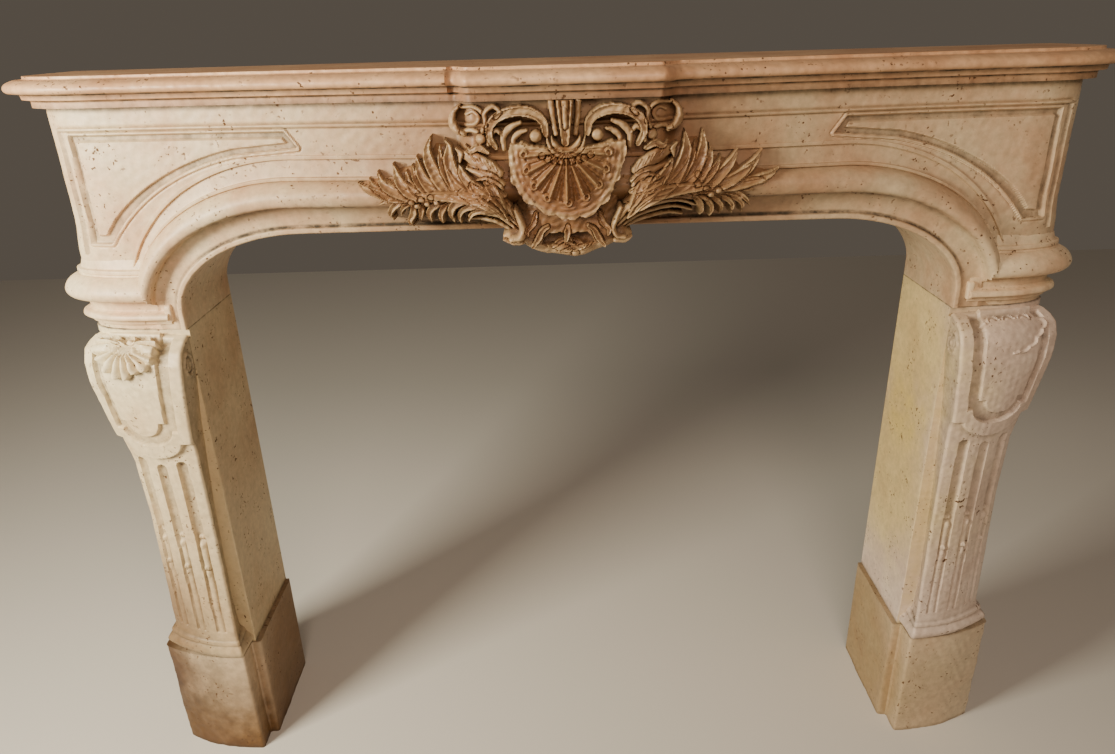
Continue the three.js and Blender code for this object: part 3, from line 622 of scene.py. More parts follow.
def abacus_rings():
    """The slab under the bed joint, with a small step below and eased arrises."""
    profile = rounded([
        (ABACUS_LOW, 3, 0), (ABACUS_LOW + 1, 5.5, 0.6), (752, 6.5, 1), (JAMB_TOP - 1, 6.5, 1),
        (JAMB_TOP, 5, 0),
    ])
    x, depth, out = end_plan(24)
    x = np.concatenate([[REVEAL_HALF, REVEAL_HALF, 566], x])
    depth = np.concatenate([[0, WING_END_DEPTH, WING_END_DEPTH], depth])
    out = np.concatenate([[(0, 0), (0, 1), (0, 1)], out])
    rings = np.empty((len(profile), len(x), 3))
    rings[..., 0] = x + out[:, 0] * profile[:, 1:]
    rings[..., 1] = depth + out[:, 1] * profile[:, 1:]
    rings[..., 2] = profile[:, :1]
    return rings


FRIEZE_HALF = 684
END_START = 600
END_DEPTH = 118
WING_END_DEPTH = 158
WALL_COLUMNS = 8


def end_plan(steps):
    """Plan of the rounded end from its front to the wall: a quarter ellipse, then straight back."""
    angle = np.linspace(0, math.pi / 2, steps)
    x = mix(END_START, FRIEZE_HALF, np.sin(angle))
    depth = mix(END_DEPTH, WING_END_DEPTH, np.cos(angle))
    out = np.column_stack([np.sin(angle), np.cos(angle)])
    back = np.linspace(END_DEPTH - 8, 0, WALL_COLUMNS)
    return (
        np.concatenate([x, np.full(WALL_COLUMNS, FRIEZE_HALF)]),
        np.concatenate([depth, back]),
        np.concatenate([out, np.tile([1.0, 0.0], (WALL_COLUMNS, 1))]),
    )


# The jambs are one stone: the left is given a yellower cream and the right a pinker tone, partly the stone's
# own tone and partly painted light on the left and painted shade on the right.
left_jamb_stone = limestone(
    "waxed_limestone_left_jamb", "e8dcb8", "d3bd98",
    [
        # Two patches darken the foot and the low front; the one over the reveal is painted shade.
        ((-0.74, -0.03, 0.25), 0.25, 0.9, "a08c7a"), ((-0.5, 0.12, 0.6), 0.34, 0.5, "c4a282"),
        ((-0.62, -0.09, 0.2), 0.42, 0.5, "c4ac98"),
    ],
)
right_jamb_stone = limestone(
    "waxed_limestone_right_jamb", "e4d2c2", "d2bcaa",
    # Painted yellow light: two pale yellow patches over the right reveal.
    [((0.48, 0.08, 0.68), 0.28, 0.9, "f4eeb2"), ((0.48, 0.08, 0.44), 0.28, 0.9, "f4eeb2")],
)

for (hand, side), stone in zip(SIDES, (left_jamb_stone, right_jamb_stone)):
    rings, marks = jamb_rings(20 + side, 0.5 + 0.5 * side)
    node = f"{hand}_jamb"
    points, faces = tube(rings)
    stone_piece(f"{hand}_console_jamb", mirrored(points, side), faces, stone, node, marks)
    points, faces = tube(abacus_rings())
    joint = {"grime_and_shade": 0.8 * smooth(JAMB_TOP - 2.5, JAMB_TOP, points[:, 2])}
    stone_piece(f"{hand}_abacus", mirrored(points, side), faces, stone, node, joint)

# Lintel field
# One long block. Its face runs straight on the wings, steps forward behind the centre carving and rounds
# back to the wall at the ends; a thin raised line frames it, and each spandrel has a sunk panel.

LINTEL_TOP = 1061
WING_BREAK_DEPTH = 206
BREAK_DEPTH = 228
BREAK_IN = 112
BREAK_OUT = 138
CROWN_HALF = 360
SPRING_Z = 786
CROWN_Z = 893
EDGE_DEPTH = 169
LINE_WIDTH_SPRING = 65
LINE_WIDTH_CROWN = 104
FRAME_Z = 1035
FRAME_X = 664
FRAME_LOW = 868
PANEL_TOP = 1026
PANEL_OUT = 650
PANEL_TIP = 345
PANEL_LOW = 884
PANEL_IN = 622
PANEL_FROM_EDGE = 112
RIM_SUNK = 4.5
FLARE = 5
WALL_EASE = 9
BACK_INSET = 0.6

lintel_stone = limestone("waxed_limestone_lintel", "e8d6b2", "d8b692")


def frieze_depth(x):
    """Depth of the frieze face at x: a quarter ellipse at the ends, wings that sweep back as the 1.5 power
    of the way from the end, and a smooth step forward to the centre break."""
    a = np.abs(x)
    k = np.clip((a - END_START) / (FRIEZE_HALF - END_START), 0, 1)
    end = mix(END_DEPTH, WING_END_DEPTH, np.sqrt(1 - k * k))
    sweep = np.clip(1 - (a - BREAK_OUT) / (END_START - BREAK_OUT), 0, 1)
    wing = mix(WING_END_DEPTH, WING_BREAK_DEPTH, sweep ** 1.5)
    front = mix(BREAK_DEPTH, wing, smooth(BREAK_IN, BREAK_OUT, a))
    return np.where(a >= END_START, end, front)


def whole_plan(fine, coarse):
    """Plan of the lintel from wall to wall: place, depth and the way that mouldings step out."""
    right_x, right_depth, right_out = end_plan(60)
    near = np.concatenate([
        np.arange(BREAK_IN - 4, BREAK_OUT + 6, 1.5), np.arange(BREAK_OUT + 6, PANEL_TIP - 10, coarse),
        np.arange(PANEL_TIP - 10, END_START - 0.5, fine),
    ])
    middle = np.arange(0, BREAK_IN - 4, coarse)
    half = np.concatenate([middle, near])
    x = np.concatenate([half, right_x])
    depth = np.concatenate([frieze_depth(half), right_depth])
    out = np.concatenate([np.tile([0.0, 1.0], (len(half), 1)), right_out])
    return (
        np.concatenate([-x[::-1], x[1:]]),
        np.concatenate([depth[::-1], depth[1:]]),
        np.concatenate([out[::-1] * [-1, 1], out[1:]]),
    )


def arch_line(angle, distance):
    """Point at a distance square to the quarter ellipse of the opening's corner."""
    wide, high = REVEAL_HALF - CROWN_HALF, CROWN_Z - SPRING_Z
    across, up = np.cos(angle) / wide, np.sin(angle) / high
    length = np.hypot(across, up)
    return (
        CROWN_HALF + wide * np.cos(angle) + distance * across / length,
        SPRING_Z + high * np.sin(angle) + distance * up / length,
    )


def arch_outside(x, inset):
    """Height of the outer line of the arch moulding above x, less an inset, and the bed of the lintel beyond
    it."""
    angle = np.linspace(0, math.pi / 2, 200)
    line_x, line_z = arch_line(angle, mix(LINE_WIDTH_SPRING, LINE_WIDTH_CROWN, np.sin(angle)) - inset)
    order = np.argsort(line_x)
    height = np.interp(np.abs(x), line_x[order], line_z[order])
    return np.where(np.abs(x) > line_x.max(), JAMB_TOP + JOINT_GAP, height)


def panel_outline():
    """Outline of the spandrel panel: straight top and side, a curve that follows the arch, and a pointed
    tip."""
    angle = np.linspace(0.47, 1.32, 24)
    wide, high = REVEAL_HALF - CROWN_HALF + PANEL_FROM_EDGE, CROWN_Z - SPRING_Z + PANEL_FROM_EDGE
    curve = np.column_stack([CROWN_HALF + wide * np.cos(angle), SPRING_Z + high * np.sin(angle)])[::-1]
    side = [(PANEL_OUT, PANEL_LOW), (PANEL_OUT - 3, PANEL_TOP)]
    tip = [(PANEL_TIP + 15, PANEL_TOP), (PANEL_TIP, PANEL_TOP - 20)]
    return np.concatenate([side, tip, curve, [(PANEL_IN, PANEL_LOW)]])


def frieze_relief(x, z):
    """Height of the raised line and depth of the panel's sunk rim, in mm, over the frieze face."""
    a = np.abs(x)
    top = np.abs(z - FRAME_Z + 1.5)
    side = np.where((z > FRAME_LOW) & (z < FRAME_Z), np.abs(a - FRAME_X + 1.5), 99)
    line = np.where(a < FRAME_X, np.minimum(top, side), 99)
    raised = 3.0 * smooth(2.4, 1.2, line) - 1.6 * smooth(4.6, 3.4, line) * smooth(2.2, 2.8, line)
    inside = signed_distance(a, z, panel_outline())
    wide = mix(7, 11.5, smooth(1000, 900, z) * smooth(FRIEZE_HALF, END_START, a))
    rim = smooth(-0.5, 0.9, inside) * smooth(wide + 1.6, wide - 0.6, inside)
    lip = 1.6 * smooth(-4.6, -3.4, inside) * smooth(-0.2, -1.2, inside)
    quirk = 1.2 * smooth(-6.6, -5.4, inside) * smooth(-4.2, -5.0, inside)
    return raised - RIM_SUNK * rim + lip - quirk


def column_sheet(front, first, back_depth):
    """A closed slab from a grid front[column, row]: rows below first[column] are left out, and the top, the
    bottom and the back are one strip of faces each, down to a back at the wall."""
    columns, rows, _ = front.shape
    kept = np.maximum(np.arange(rows)[None, :], first[:, None])
    number = np.arange(columns)[:, None] * rows + kept
    a, b, c, d = number[:-1, :-1], number[1:, :-1], number[1:, 1:], number[:-1, 1:]
    triangles = np.concatenate([np.stack(corners, -1).reshape(-1, 3) for corners in ((a, b, c), (a, c, d))])
    triangles = triangles[(triangles != np.roll(triangles, 1, axis=1)).all(1)]
    low, high = number[:, 0], number[:, -1]
    back_low = columns * rows + np.arange(columns)
    back_high = back_low + columns
    flat = front.reshape(-1, 3)
    behind = np.concatenate([flat[low], flat[high]])
    behind[:, 1] = back_depth
    strips = [
        np.stack([high[:-1], high[1:], back_high[1:], back_high[:-1]], -1),
        np.stack([low[1:], low[:-1], back_low[:-1], back_low[1:]], -1),
        np.stack([back_low[:-1], back_high[:-1], back_high[1:], back_low[1:]], -1)[:, ::-1],
    ]
    ends = [
        np.concatenate([[back_low[0]], number[0, first[0]:], [back_high[0]]])[None, ::-1],
        np.concatenate([[back_low[-1]], number[-1, first[-1]:], [back_high[-1]]])[None],
    ]
    return np.concatenate([flat, behind]), [triangles, *strips, *ends]


def patina_with_shade(x, z):
    """Brown of smoke and wax, full at the shell, faint half a metre to its left and even on the right wing.
    It
    is painted shade too: the left end, where the light falls, stays pale and the right wing is darkened."""
    around = 0.7 * np.exp(-((x / 230) ** 2 + ((z - 950) / 110) ** 2)) + 0.5 * np.exp(-((x / 460) ** 2))
    return around + 0.2 * smooth(100, 500, x) + 0.04


def make_frieze():
    """The face stands out by its relief and, low on the ends, by a flare; both fade out just before the
    wall."""
    x, depth, out = whole_plan(1.45, 4.0)
    levels = np.linspace(JAMB_TOP + JOINT_GAP, LINTEL_TOP, 206)
    grid_x = np.broadcast_to(x[:, None], (len(x), len(levels)))
    base = arch_outside(x, 3)
    grid_z = np.maximum(levels[None, :], base[:, None])
    first = np.clip((levels[None, :] <= base[:, None]).sum(1) - 1, 0, len(levels) - 2)
    relief = frieze_relief(grid_x, grid_z)
    ages = np.stack([grid_x, np.zeros_like(grid_x), grid_z], -1)
    relief = relief + 0.3 * weathering(ages, 90, 31) + 0.12 * weathering(ages, 14, 32)
    front = np.empty((len(x), len(levels), 3))
    flare = FLARE * smooth(915, 862, grid_z)
    beside_wall = smooth(0, WALL_EASE, depth)[:, None]
    relief = relief * beside_wall
    front[..., 0] = grid_x + out[:, :1] * (relief + flare * beside_wall)
    front[..., 1] = np.maximum(depth[:, None] + out[:, 1:] * relief, BACK_INSET)
    front[..., 2] = grid_z
    points, faces = column_sheet(front, first, 0.0)
    grime_and_shade = np.zeros(len(points))
    # Painted shade in the quirks and beside the raised line, in a band under the shelf and over the panel's
    # sunk rim.
    quirk = 0.16 * hollows(relief, 2) + 0.55 * smooth(LINTEL_TOP - 9, LINTEL_TOP - 1, grid_z)
    framed = (grid_z > FRAME_LOW) & (grid_z < FRAME_Z)
    beside_line = smooth(3, 0.5, np.abs(np.abs(grid_x) - FRAME_X + 4))
    quirk += 0.3 * beside_line * framed + 0.2 * smooth(-1.6, -3.4, relief)
    grime_and_shade[:quirk.size] = quirk.ravel()
    marks = {"grime_and_shade": grime_and_shade, "patina_and_shade": patina_with_shade(points[:, 0], points[:, 2])}
    stone_piece("lintel_field", points, faces, lintel_stone, "lintel", marks)


make_frieze()

# Arch moulding
# Cut round the opening from the same block: a bead at the edge, a quirk, a broad hollow band, a deep step up
# to a fat bolection, its fillets, and a thin line that drifts away from it towards the crown.

BAND_WIDTH = 38
BULGE_WIDTH_SPRING = 63.5
BULGE_WIDTH_CROWN = 78
CAPITAL_BAND_Z = 804
MITRE_SLOPE = 38 / 24
MOULDING_ENDS = (76, 100)
UPRIGHT_STATIONS = 14
SOFFIT_COLUMNS = 24


def arch_stations():
    """Path of the opening's edge from bed joint to bed joint: place, outward way and rise, 0 to 1 from
    spring to crown."""
    angle = np.linspace(0, math.pi / 2, 70)
    wide, high = REVEAL_HALF - CROWN_HALF, CROWN_Z - SPRING_Z
    normal = np.column_stack([np.cos(angle) / wide, np.sin(angle) / high])
    normal /= np.linalg.norm(normal, axis=1, keepdims=True)
    upright = np.linspace(JAMB_TOP + JOINT_GAP, SPRING_Z - 2, UPRIGHT_STATIONS)
    wing = np.arange(CROWN_HALF - 4, BREAK_OUT + 4, -5.0)
    crown = np.concatenate([wing, np.arange(BREAK_OUT + 3, BREAK_IN - 4, -1.5), [80, 40]])
    x = np.concatenate([np.full(UPRIGHT_STATIONS, REVEAL_HALF), CROWN_HALF + wide * np.cos(angle), crown])
    z = np.concatenate([upright, SPRING_Z + high * np.sin(angle), np.full(len(crown), CROWN_Z)])
    sideways = np.tile([1.0, 0.0], (UPRIGHT_STATIONS, 1))
    out = np.concatenate([sideways, normal, np.tile([0.0, 1.0], (len(crown), 1))])
    rise = np.concatenate([np.zeros(UPRIGHT_STATIONS), np.sin(angle), np.ones(len(crown))])
    return (
        np.concatenate([x, [0], -x[::-1]]), np.concatenate([z, [CROWN_Z], z[::-1]]),
        np.concatenate([out, [(0.0, 1.0)], out[::-1] * [-1, 1]]), np.concatenate([rise, [1], rise[::-1]]),
    )


def arch_profile(rise):
    """Section outside the edge as (distance, relief): the bulge and the line widen with the rise."""
    wide = mix(BULGE_WIDTH_SPRING, BULGE_WIDTH_CROWN, rise)
    line = mix(LINE_WIDTH_SPRING, LINE_WIDTH_CROWN, rise)
    body = mix(22, 34.5, rise)
    drift = 0.5 + 4.5 * smooth(0.1, 0.6, rise)
    return rounded([
        (0, 0, 0), (1.2, 2.5, 1.5), (7.5, 3, 2.5), (9, -2, 0.5), (13, -1.5, 2), (30, -1, 8),
        (BAND_WIDTH, 4, 3),
        (BAND_WIDTH + 0.4, 15, 1), (BAND_WIDTH + 2, 25, 6), (BAND_WIDTH + 0.45 * body, mix(32, 28, rise), 10),
        (BAND_WIDTH + 0.82 * body, mix(25, 19, rise), 7), (BAND_WIDTH + 0.97 * body, mix(10, 2.5, rise), 1),
        (BAND_WIDTH + body + 0.2, mix(8, 6.5, rise), 0.4), (wide - 1.6, 7, 0.6), (wide - 1.2, 2.5, 0.5),
        (wide, 2, 1),
        (max(line - drift - 0.5, wide + 0.2), -1.0, 1), (max(line - drift, wide + 0.6), 3.0, 0.6),
        (line - 0.1, 3.0, 0.4), (line, -1.5, 0),
    ], 5)


def make_arch():
    x, z, out, rise = arch_stations()
    profile = np.stack([arch_profile(amount) for amount in rise])
    distance, relief = profile[..., 0], profile[..., 1]
    px = x[:, None] + out[:, :1] * distance
    pz = z[:, None] + out[:, 1:] * distance
    mitre = CAPITAL_BAND_Z - 4 + np.clip(distance - BAND_WIDTH, 0, 30) * MITRE_SLOPE
    standing = smooth(-1.5, 1.5, pz - mitre) * smooth(*MOULDING_ENDS, np.abs(px))
    relief = np.where(distance > 14, mix(np.minimum(relief, 3), relief, standing), relief)
    base = mix(EDGE_DEPTH, frieze_depth(px), smooth(10, BULGE_WIDTH_SPRING, distance))
    front = np.stack([px, base + relief, pz], -1)
    front[..., 1] += 0.3 * weathering(front, 50, 41) + 0.15 * weathering(front, 11, 42)
    soffit = np.repeat(front[:, :1], SOFFIT_COLUMNS, axis=1)
    soffit[..., 1] = mix(0.0, front[:, :1, 1], np.linspace(0, 1, SOFFIT_COLUMNS + 1)[:-1])
    outside = np.repeat(front[:, -1:], 2, axis=1)
    outside[..., 1] = mix(front[:, -1:, 1], BACK_INSET, np.array([0.5, 1.0]))
    rings = np.concatenate([soffit, front, outside], axis=1)
    points, faces = tube(rings)
    # Painted shade in the groove by the bead and at the deep step up to the bolection, growing towards the
    # crown, where soot darkens them too, and a little soot on the soffit.
    grime_and_shade = np.zeros(rings.shape[:2])
    quirk = 0.9 * smooth(4, 0.5, np.abs(distance - 9.5))
    quirk = quirk + 0.75 * smooth(7, 0, np.abs(distance - BAND_WIDTH)) * rise[:, None]
    quirk = quirk * (0.35 + 0.65 * rise[:, None]) + 0.025 * hollows(relief, 2)
    grime_and_shade[:, SOFFIT_COLUMNS:SOFFIT_COLUMNS + distance.shape[1]] = quirk
    grime_and_shade[:, :SOFFIT_COLUMNS] = 0.12
    marks = {"grime_and_shade": grime_and_shade.ravel(), "patina_and_shade": patina_with_shade(points[:, 0], points[:, 2])}
    stone_piece("arch_moulding", points, faces, lintel_stone, "lintel", marks)


make_arch()

# Centre carving
# Shell between C-scrolls, two acanthus sprays and a hanging lip, cut in high relief from the same block;
# its undercuts are stood in for by sunk hollows with painted shade. Ridges are rubbed pale, with a painted
# highlight, and the grounds hold old brown wax and soot.

CARVING_GRID = 1.05
CARVING_LOW = 863
CARVING_TOP = 1060.5
GROUND_BACK = 8
GROOVE_WIDTH = 1.4
SWELL_Z = 944
SPRAY_LOW = 899.0
CARVING_BACK = 150
APRON_BACK = 120
HUB = (-1, 1004)
SHELL_EDGE = 68
RIB_END = 62
RIB_ANGLE = math.radians(21)
LIP_UNDERSIDE = 14
LIP_OUTLINE = [
    (-86, 895), (-84, 890), (-71, 884), (-60, 883), (-48, 876), (-28, 869), (-7, 867), (10, 863), (20, 866),
    (39, 873), (60, 881), (72, 883), (80, 888), (84, 895), (70, 905), (62, 925), (68, 960), (-70, 960),
    (-62, 925), (-68, 905),
]


def smooth_line(points, step=1.0):
    """Catmull-Rom line through the points, sampled about every step: each span from p1 to p2 is
    (2 p1 + (p2 - p0) t + (2 p0 - 5 p1 + 4 p2 - p3) t^2 + (3 p1 - p0 - 3 p2 + p3) t^3) / 2."""
    spots = np.array(points, float)
    spots = np.concatenate([2 * spots[:1] - spots[1:2], spots, 2 * spots[-1:] - spots[-2:-1]])
    spans = []
    for p0, p1, p2, p3 in zip(spots[:-3], spots[1:-2], spots[2:-1], spots[3:]):
        count = max(3, int(np.linalg.norm(p2 - p1) / step))
        t = (np.arange(count) / count)[:, None]
        square, cube = 2 * p0 - 5 * p1 + 4 * p2 - p3, 3 * p1 - p0 - 3 * p2 + p3
        spans.append((2 * p1 + (p2 - p0) * t + square * t ** 2 + cube * t ** 3) / 2)
    return np.concatenate([*spans, spots[-2:-1]])


def rod(k, t):
    """Half round section: sqrt(1 - k * k)."""
    return np.sqrt(np.clip(1 - k * k, 0, 1))


def blade(k, t):
    """Leaf section: a hollow between two rims, the upper one the higher, rounded off at the edge."""
    rim = 0.25 + 0.75 * np.abs(k / 0.72) ** 2 + 0.12 * k
    edge = np.sqrt(np.clip(1 - k * k, 0, 1)) * 1.45
    vein = 0.35 * np.exp(-(k / 0.14) ** 2) * (1 - t)
    return np.minimum(rim + vein, edge)


def band(k, t):
    """Flat strap with a raised fillet on each edge."""
    return 0.55 + 0.45 * (np.abs(k) > 0.55)


def chain(value):
    """A number stands for a level chain along t; a chain stays as it is."""
    return [(0, value), (1, value)] if isinstance(value, (int, float)) else value


def lay(slab, points, half_width, height, rise, section=rod, cut=3.5):
    """Raises the field of a slab (field, x, z) to a stroke along a smooth line: base height plus rise times
    the section at k, the distance from the line over the half width. A narrow groove is cut round it.
    Widths and heights are numbers or chains along t."""
    field, x, z = slab
    half_width, height, rise = chain(half_width), chain(height), chain(rise)
    path = smooth_line(points)
    widest = max(value for _, value in half_width) + 3
    columns = slice(*np.searchsorted(x[:, 0], (path[:, 0].min() - widest, path[:, 0].max() + widest)))
    rows = slice(*np.searchsorted(z[0], (path[:, 1].min() - widest, path[:, 1].max() + widest)))
    part_x, part_z = x[columns, rows], z[columns, rows]
    if part_x.size == 0:
        return
    way = np.gradient(path, axis=0)
    across = part_x[..., None] - path[:, 0]
    upward = part_z[..., None] - path[:, 1]
    nearest = (across ** 2 + upward ** 2).argmin(-1)
    pick = nearest[..., None]
    across = np.take_along_axis(across, pick, -1)[..., 0]
    upward = np.take_along_axis(upward, pick, -1)[..., 0]
    t = nearest / (len(path) - 1)
    away = np.hypot(across, upward)
    side = np.sign(way[nearest, 0] * upward - way[nearest, 1] * across + 1e-9)
    half = along(half_width, t)
    low = along(height, t)
    body = low + along(rise, t) * section(np.clip(side * away / half, -1, 1), t)
    part = field[columns, rows]
    ring = (away >= half) & (away < half + GROOVE_WIDTH)
    part[ring] = np.minimum(part[ring], np.maximum(low[ring] - cut, part[ring] - cut))
    inside = away < half
    part[inside] = np.maximum(part[inside], body[inside])


def lay_leaf(slab, points, wide, height, rise=6.0):
    """A pointed leaf: widest a third of the way along, lifted towards its tip, hollow with raised rims."""
    half_width = [(0, 0.5 * wide), (0.35, wide), (0.75, 0.66 * wide), (1, 0.5)]
    lift = [(0, height - 3), (0.5, height), (0.85, height + 2), (1, height - 1)]
    lay(slab, points, half_width, lift, [(0, rise), (0.8, rise), (1, 0.3 * rise)], blade, cut=2.2)


def lay_ball(slab, places, radius, height):
    """Round buds: each has the height of a ball seated half deep, with a ring cut round it."""
    for across, up in places:
        lay(slab, [(across - 0.5, up), (across + 0.5, up)], radius, height, 0.9 * radius)


def raise_to(field, inside, height):
    """Raises the field to a height where the signed distance to an outline is positive."""
    on = inside > 0
    field[on] = np.maximum(field[on], height[on])


def lay_shell(slab):
    """Rods that fan out and down from the hub with scooped flutes between, each ending in a small curl,
    inside a broad ruffled border. A rod is 5.5 exp(-(d / w)^2), d its distance across in mm, w from 1.5 at
    the hub to 3.6."""
    field, x, z = slab
    across, up = x - HUB[0], z - HUB[1]
    away = np.hypot(across, up)
    turn = np.arctan2(across, -up) / RIB_ANGLE
    off = turn - np.round(turn)
    beside = np.abs(off) * RIB_ANGLE * away
    beat = np.abs(np.cos(math.pi * turn))
    ruffle = np.abs(np.sin(1.5 * math.pi * turn + 0.9 * np.sin(2.3 * turn)))
    lower = np.clip(-up / (away + 1), 0, 1)
    edge = SHELL_EDGE + 13 * lower ** 2 + 3 * beat + 1.8 * ruffle + 2 * np.sin(1.7 * turn)
    reach = RIB_END - 12 + 12 * lower ** 2
    span = np.clip(away / reach, 0, 1)
    between = np.sin(math.pi * np.clip(np.abs(off) * 2, 0, 1))
    scoop = 27.5 + 3 * np.sin(math.pi * span) - 4.5 * span ** 0.7 * between ** 0.8
    rods = scoop + 5.5 * np.exp(-(beside / (1.5 + 2.1 * span)) ** 2)
    border = 25.5 - 0.12 * (away - reach) + 1.2 * ruffle * smooth(reach + 3, edge, away)
    border += 0.9 * np.sin(0.9 * (away - reach)) * beat
    height = np.where(away < reach, rods, border)
    hook = np.hypot(off * RIB_ANGLE * away - 2.2 * np.sign(np.round(turn) + 0.1), away - reach - 1)
    curl = np.exp(-((hook - 3.6) / 1.6) ** 2)
    height = np.where(hook < 5.6, np.maximum(height - 1.2, 25.5 + 4.5 * curl), height)
    inside = (away < edge) & (up < 5 + 0.06 * away) & (np.abs(turn) < 4.7)
    rim = (away >= edge) & (away < edge + 1.6) & (up < 4)
    field[rim] = np.minimum(field[rim], 2)
    field[inside] = np.maximum(field[inside], height[inside])


def placed(side, *points):
    """Points given outward from the middle, on the side wanted."""
    return [(side * across, up) for across, up in points]


SCROLLS = [
    (lay, [(136, 1006), (131, 1000), (132, 990)], [(0, 1.5), (0.5, 4), (1, 1.5)], 16, 4),
    (lay, [(124, 982), (108, 977), (92, 973), (80, 964)], [(0, 2), (0.5, 5.5), (1, 4)], [(0, 10), (1, 12)],
     5),
    (lay, [(112, 969), (99, 971), (86, 965), (80, 958)], [(0, 1), (0.5, 2.8), (1, 2)], [(0, 11), (1, 12)], 4),
    (lay_leaf, [(78, 950), (92, 957), (108, 958), (120, 966)], 5.5, 11, 5),
    (lay_leaf, [(96, 1002), (108, 1008), (118, 1004), (124, 1011)], 5, 13, 5),
    (lay, [(124, 1023), (134, 1028), (139, 1038), (136, 1049), (128, 1056)], [(0, 3), (0.4, 5.5), (1, 2)],
     [(0, 15), (1, 13)], [(0, 7), (0.5, 8), (1, 5)]),
    (lay, [(126, 1054), (112, 1055), (101, 1049), (97, 1038), (101, 1027)], [(0, 2), (0.5, 3), (1, 3)],
     [(0, 9), (1, 11)], [(0, 5), (1, 6)]),
    (lay, [(121, 1046), (112, 1049), (106, 1043), (110, 1035), (120, 1034)], [(0, 2), (0.5, 3.4), (1, 2)], 6,
     4),
    (lay, [(126, 1026), (116, 1028), (108, 1026)], 3, 9, 5),
    (lay_ball, [(104, 1018)], 6, 11),
    (lay, [(94, 1012), (92, 1024), (84, 1028), (78, 1022)], [(0, 3), (0.5, 4), (1, 2)], 12, 6),
    (lay, [(86, 1008), (93, 1022), (90, 1036), (77, 1046), (58, 1050), (40, 1047), (28, 1037), (25, 1023)],
     [(0, 3), (0.3, 5.5), (0.7, 6.5), (1, 4)], [(0, 12), (0.5, 17), (1, 15)], [(0, 5), (0.7, 7), (1, 5)],
     band),
    (lay_ball, [(37, 1020)], 7, 16),
    (lay, [(76, 1006), (76, 1020), (67, 1031), (55, 1036)], [(0, 3), (0.6, 4.6), (1, 2.5)],
     [(0, 11), (1, 12)], 6),
    (lay, [(64, 1008), (64, 1017), (57, 1024), (48, 1027)], [(0, 2.5), (0.6, 4), (1, 2)], 11, 5),
    (lay, [(97, 1034), (97, 1048), (87, 1055), (79, 1049), (84, 1043)], [(0, 2.5), (0.6, 3), (1, 2)],
     [(0, 10), (1, 13)], 5),
    (lay, [(54, 1012), (46, 1009), (38, 1003)], [(0, 3), (1, 2)], 16, [(0, 5), (1, 4)]),
]


def lay_scrolls(slab, side):
    """What stands on one side of the shell: ribbed wing, wave, leaves, ear, lobes and the C-scroll with its
    balls."""
    wing = placed(side, (131, 999), (118, 996), (102, 988), (84, 977))
    lay(slab, wing, [(0, 4), (0.3, 9), (0.8, 9), (1, 6)], [(0, 11), (1, 13)], 5)
    for step in range(4):
        tick = placed(side, (117 - 9 * step, 999 - 3 * step), (112 - 9 * step, 992 - 4 * step))
        lay(slab, tick, [(0, 1.2), (1, 0.6)], 16.5, [(0, 1.2), (1, 0.8)], cut=0.8)
    for work, points, *sizes in SCROLLS:
        work(slab, placed(side, *points), *sizes)


HOLLOW = [(60, 900), (72, 897), (150, 903), (212, 914), (206, 938), (140, 946), (100, 944), (72, 932)]
SPRAY_MASS = [
    (70, 934), (84, 956), (126, 968), (136, 1000), (150, 1010), (164, 1010), (174, 992), (194, 984),
    (214, 980), (224, 968), (242, 970), (262, 964), (244, 948), (200, 938), (140, 938), (90, 930),
]
ROOT_LEAVES = [
    [(104, 972), (93, 960), (85, 944), (76, 926)], [(118, 962), (102, 950), (88, 936), (74, 916)],
    [(132, 954), (112, 946), (94, 936), (80, 922)],
]


def lay_spray(slab, side, blades, claws, ribs, berries):
    """Acanthus spray: a row of (half width, height, points) for blades that rise, claws that curl down over
    the dark hollow and ribs that arch over it, and berries at the root. Blades are laid broader than the row
    says by 1.55 and claws by 1.15."""
    field, x, z = slab
    raise_to(field, signed_distance(x, z, placed(side, *HOLLOW)), ground_behind(x, z) - carrier(x, z) + 1.2)
    inside = signed_distance(x, z, placed(side, *SPRAY_MASS))
    raise_to(field, inside, 10 - 8 * np.exp(-inside / 4))
    for wide, height, points in ribs:
        width = [(0, 0.6 * wide), (0.4, wide), (0.8, wide), (1, 0.6 * wide)]
        lay(slab, placed(side, *points), width, height, 5)
    for leaves, broader in ((claws, 1.15), (blades, 1.55)):
        for wide, height, points in leaves:
            lay_leaf(slab, placed(side, *points), broader * wide, height)
    for points in ROOT_LEAVES:
        lay_leaf(slab, placed(side, *points), 7, 13)
    lay_ball(slab, placed(side, *berries), 3.3, 13)


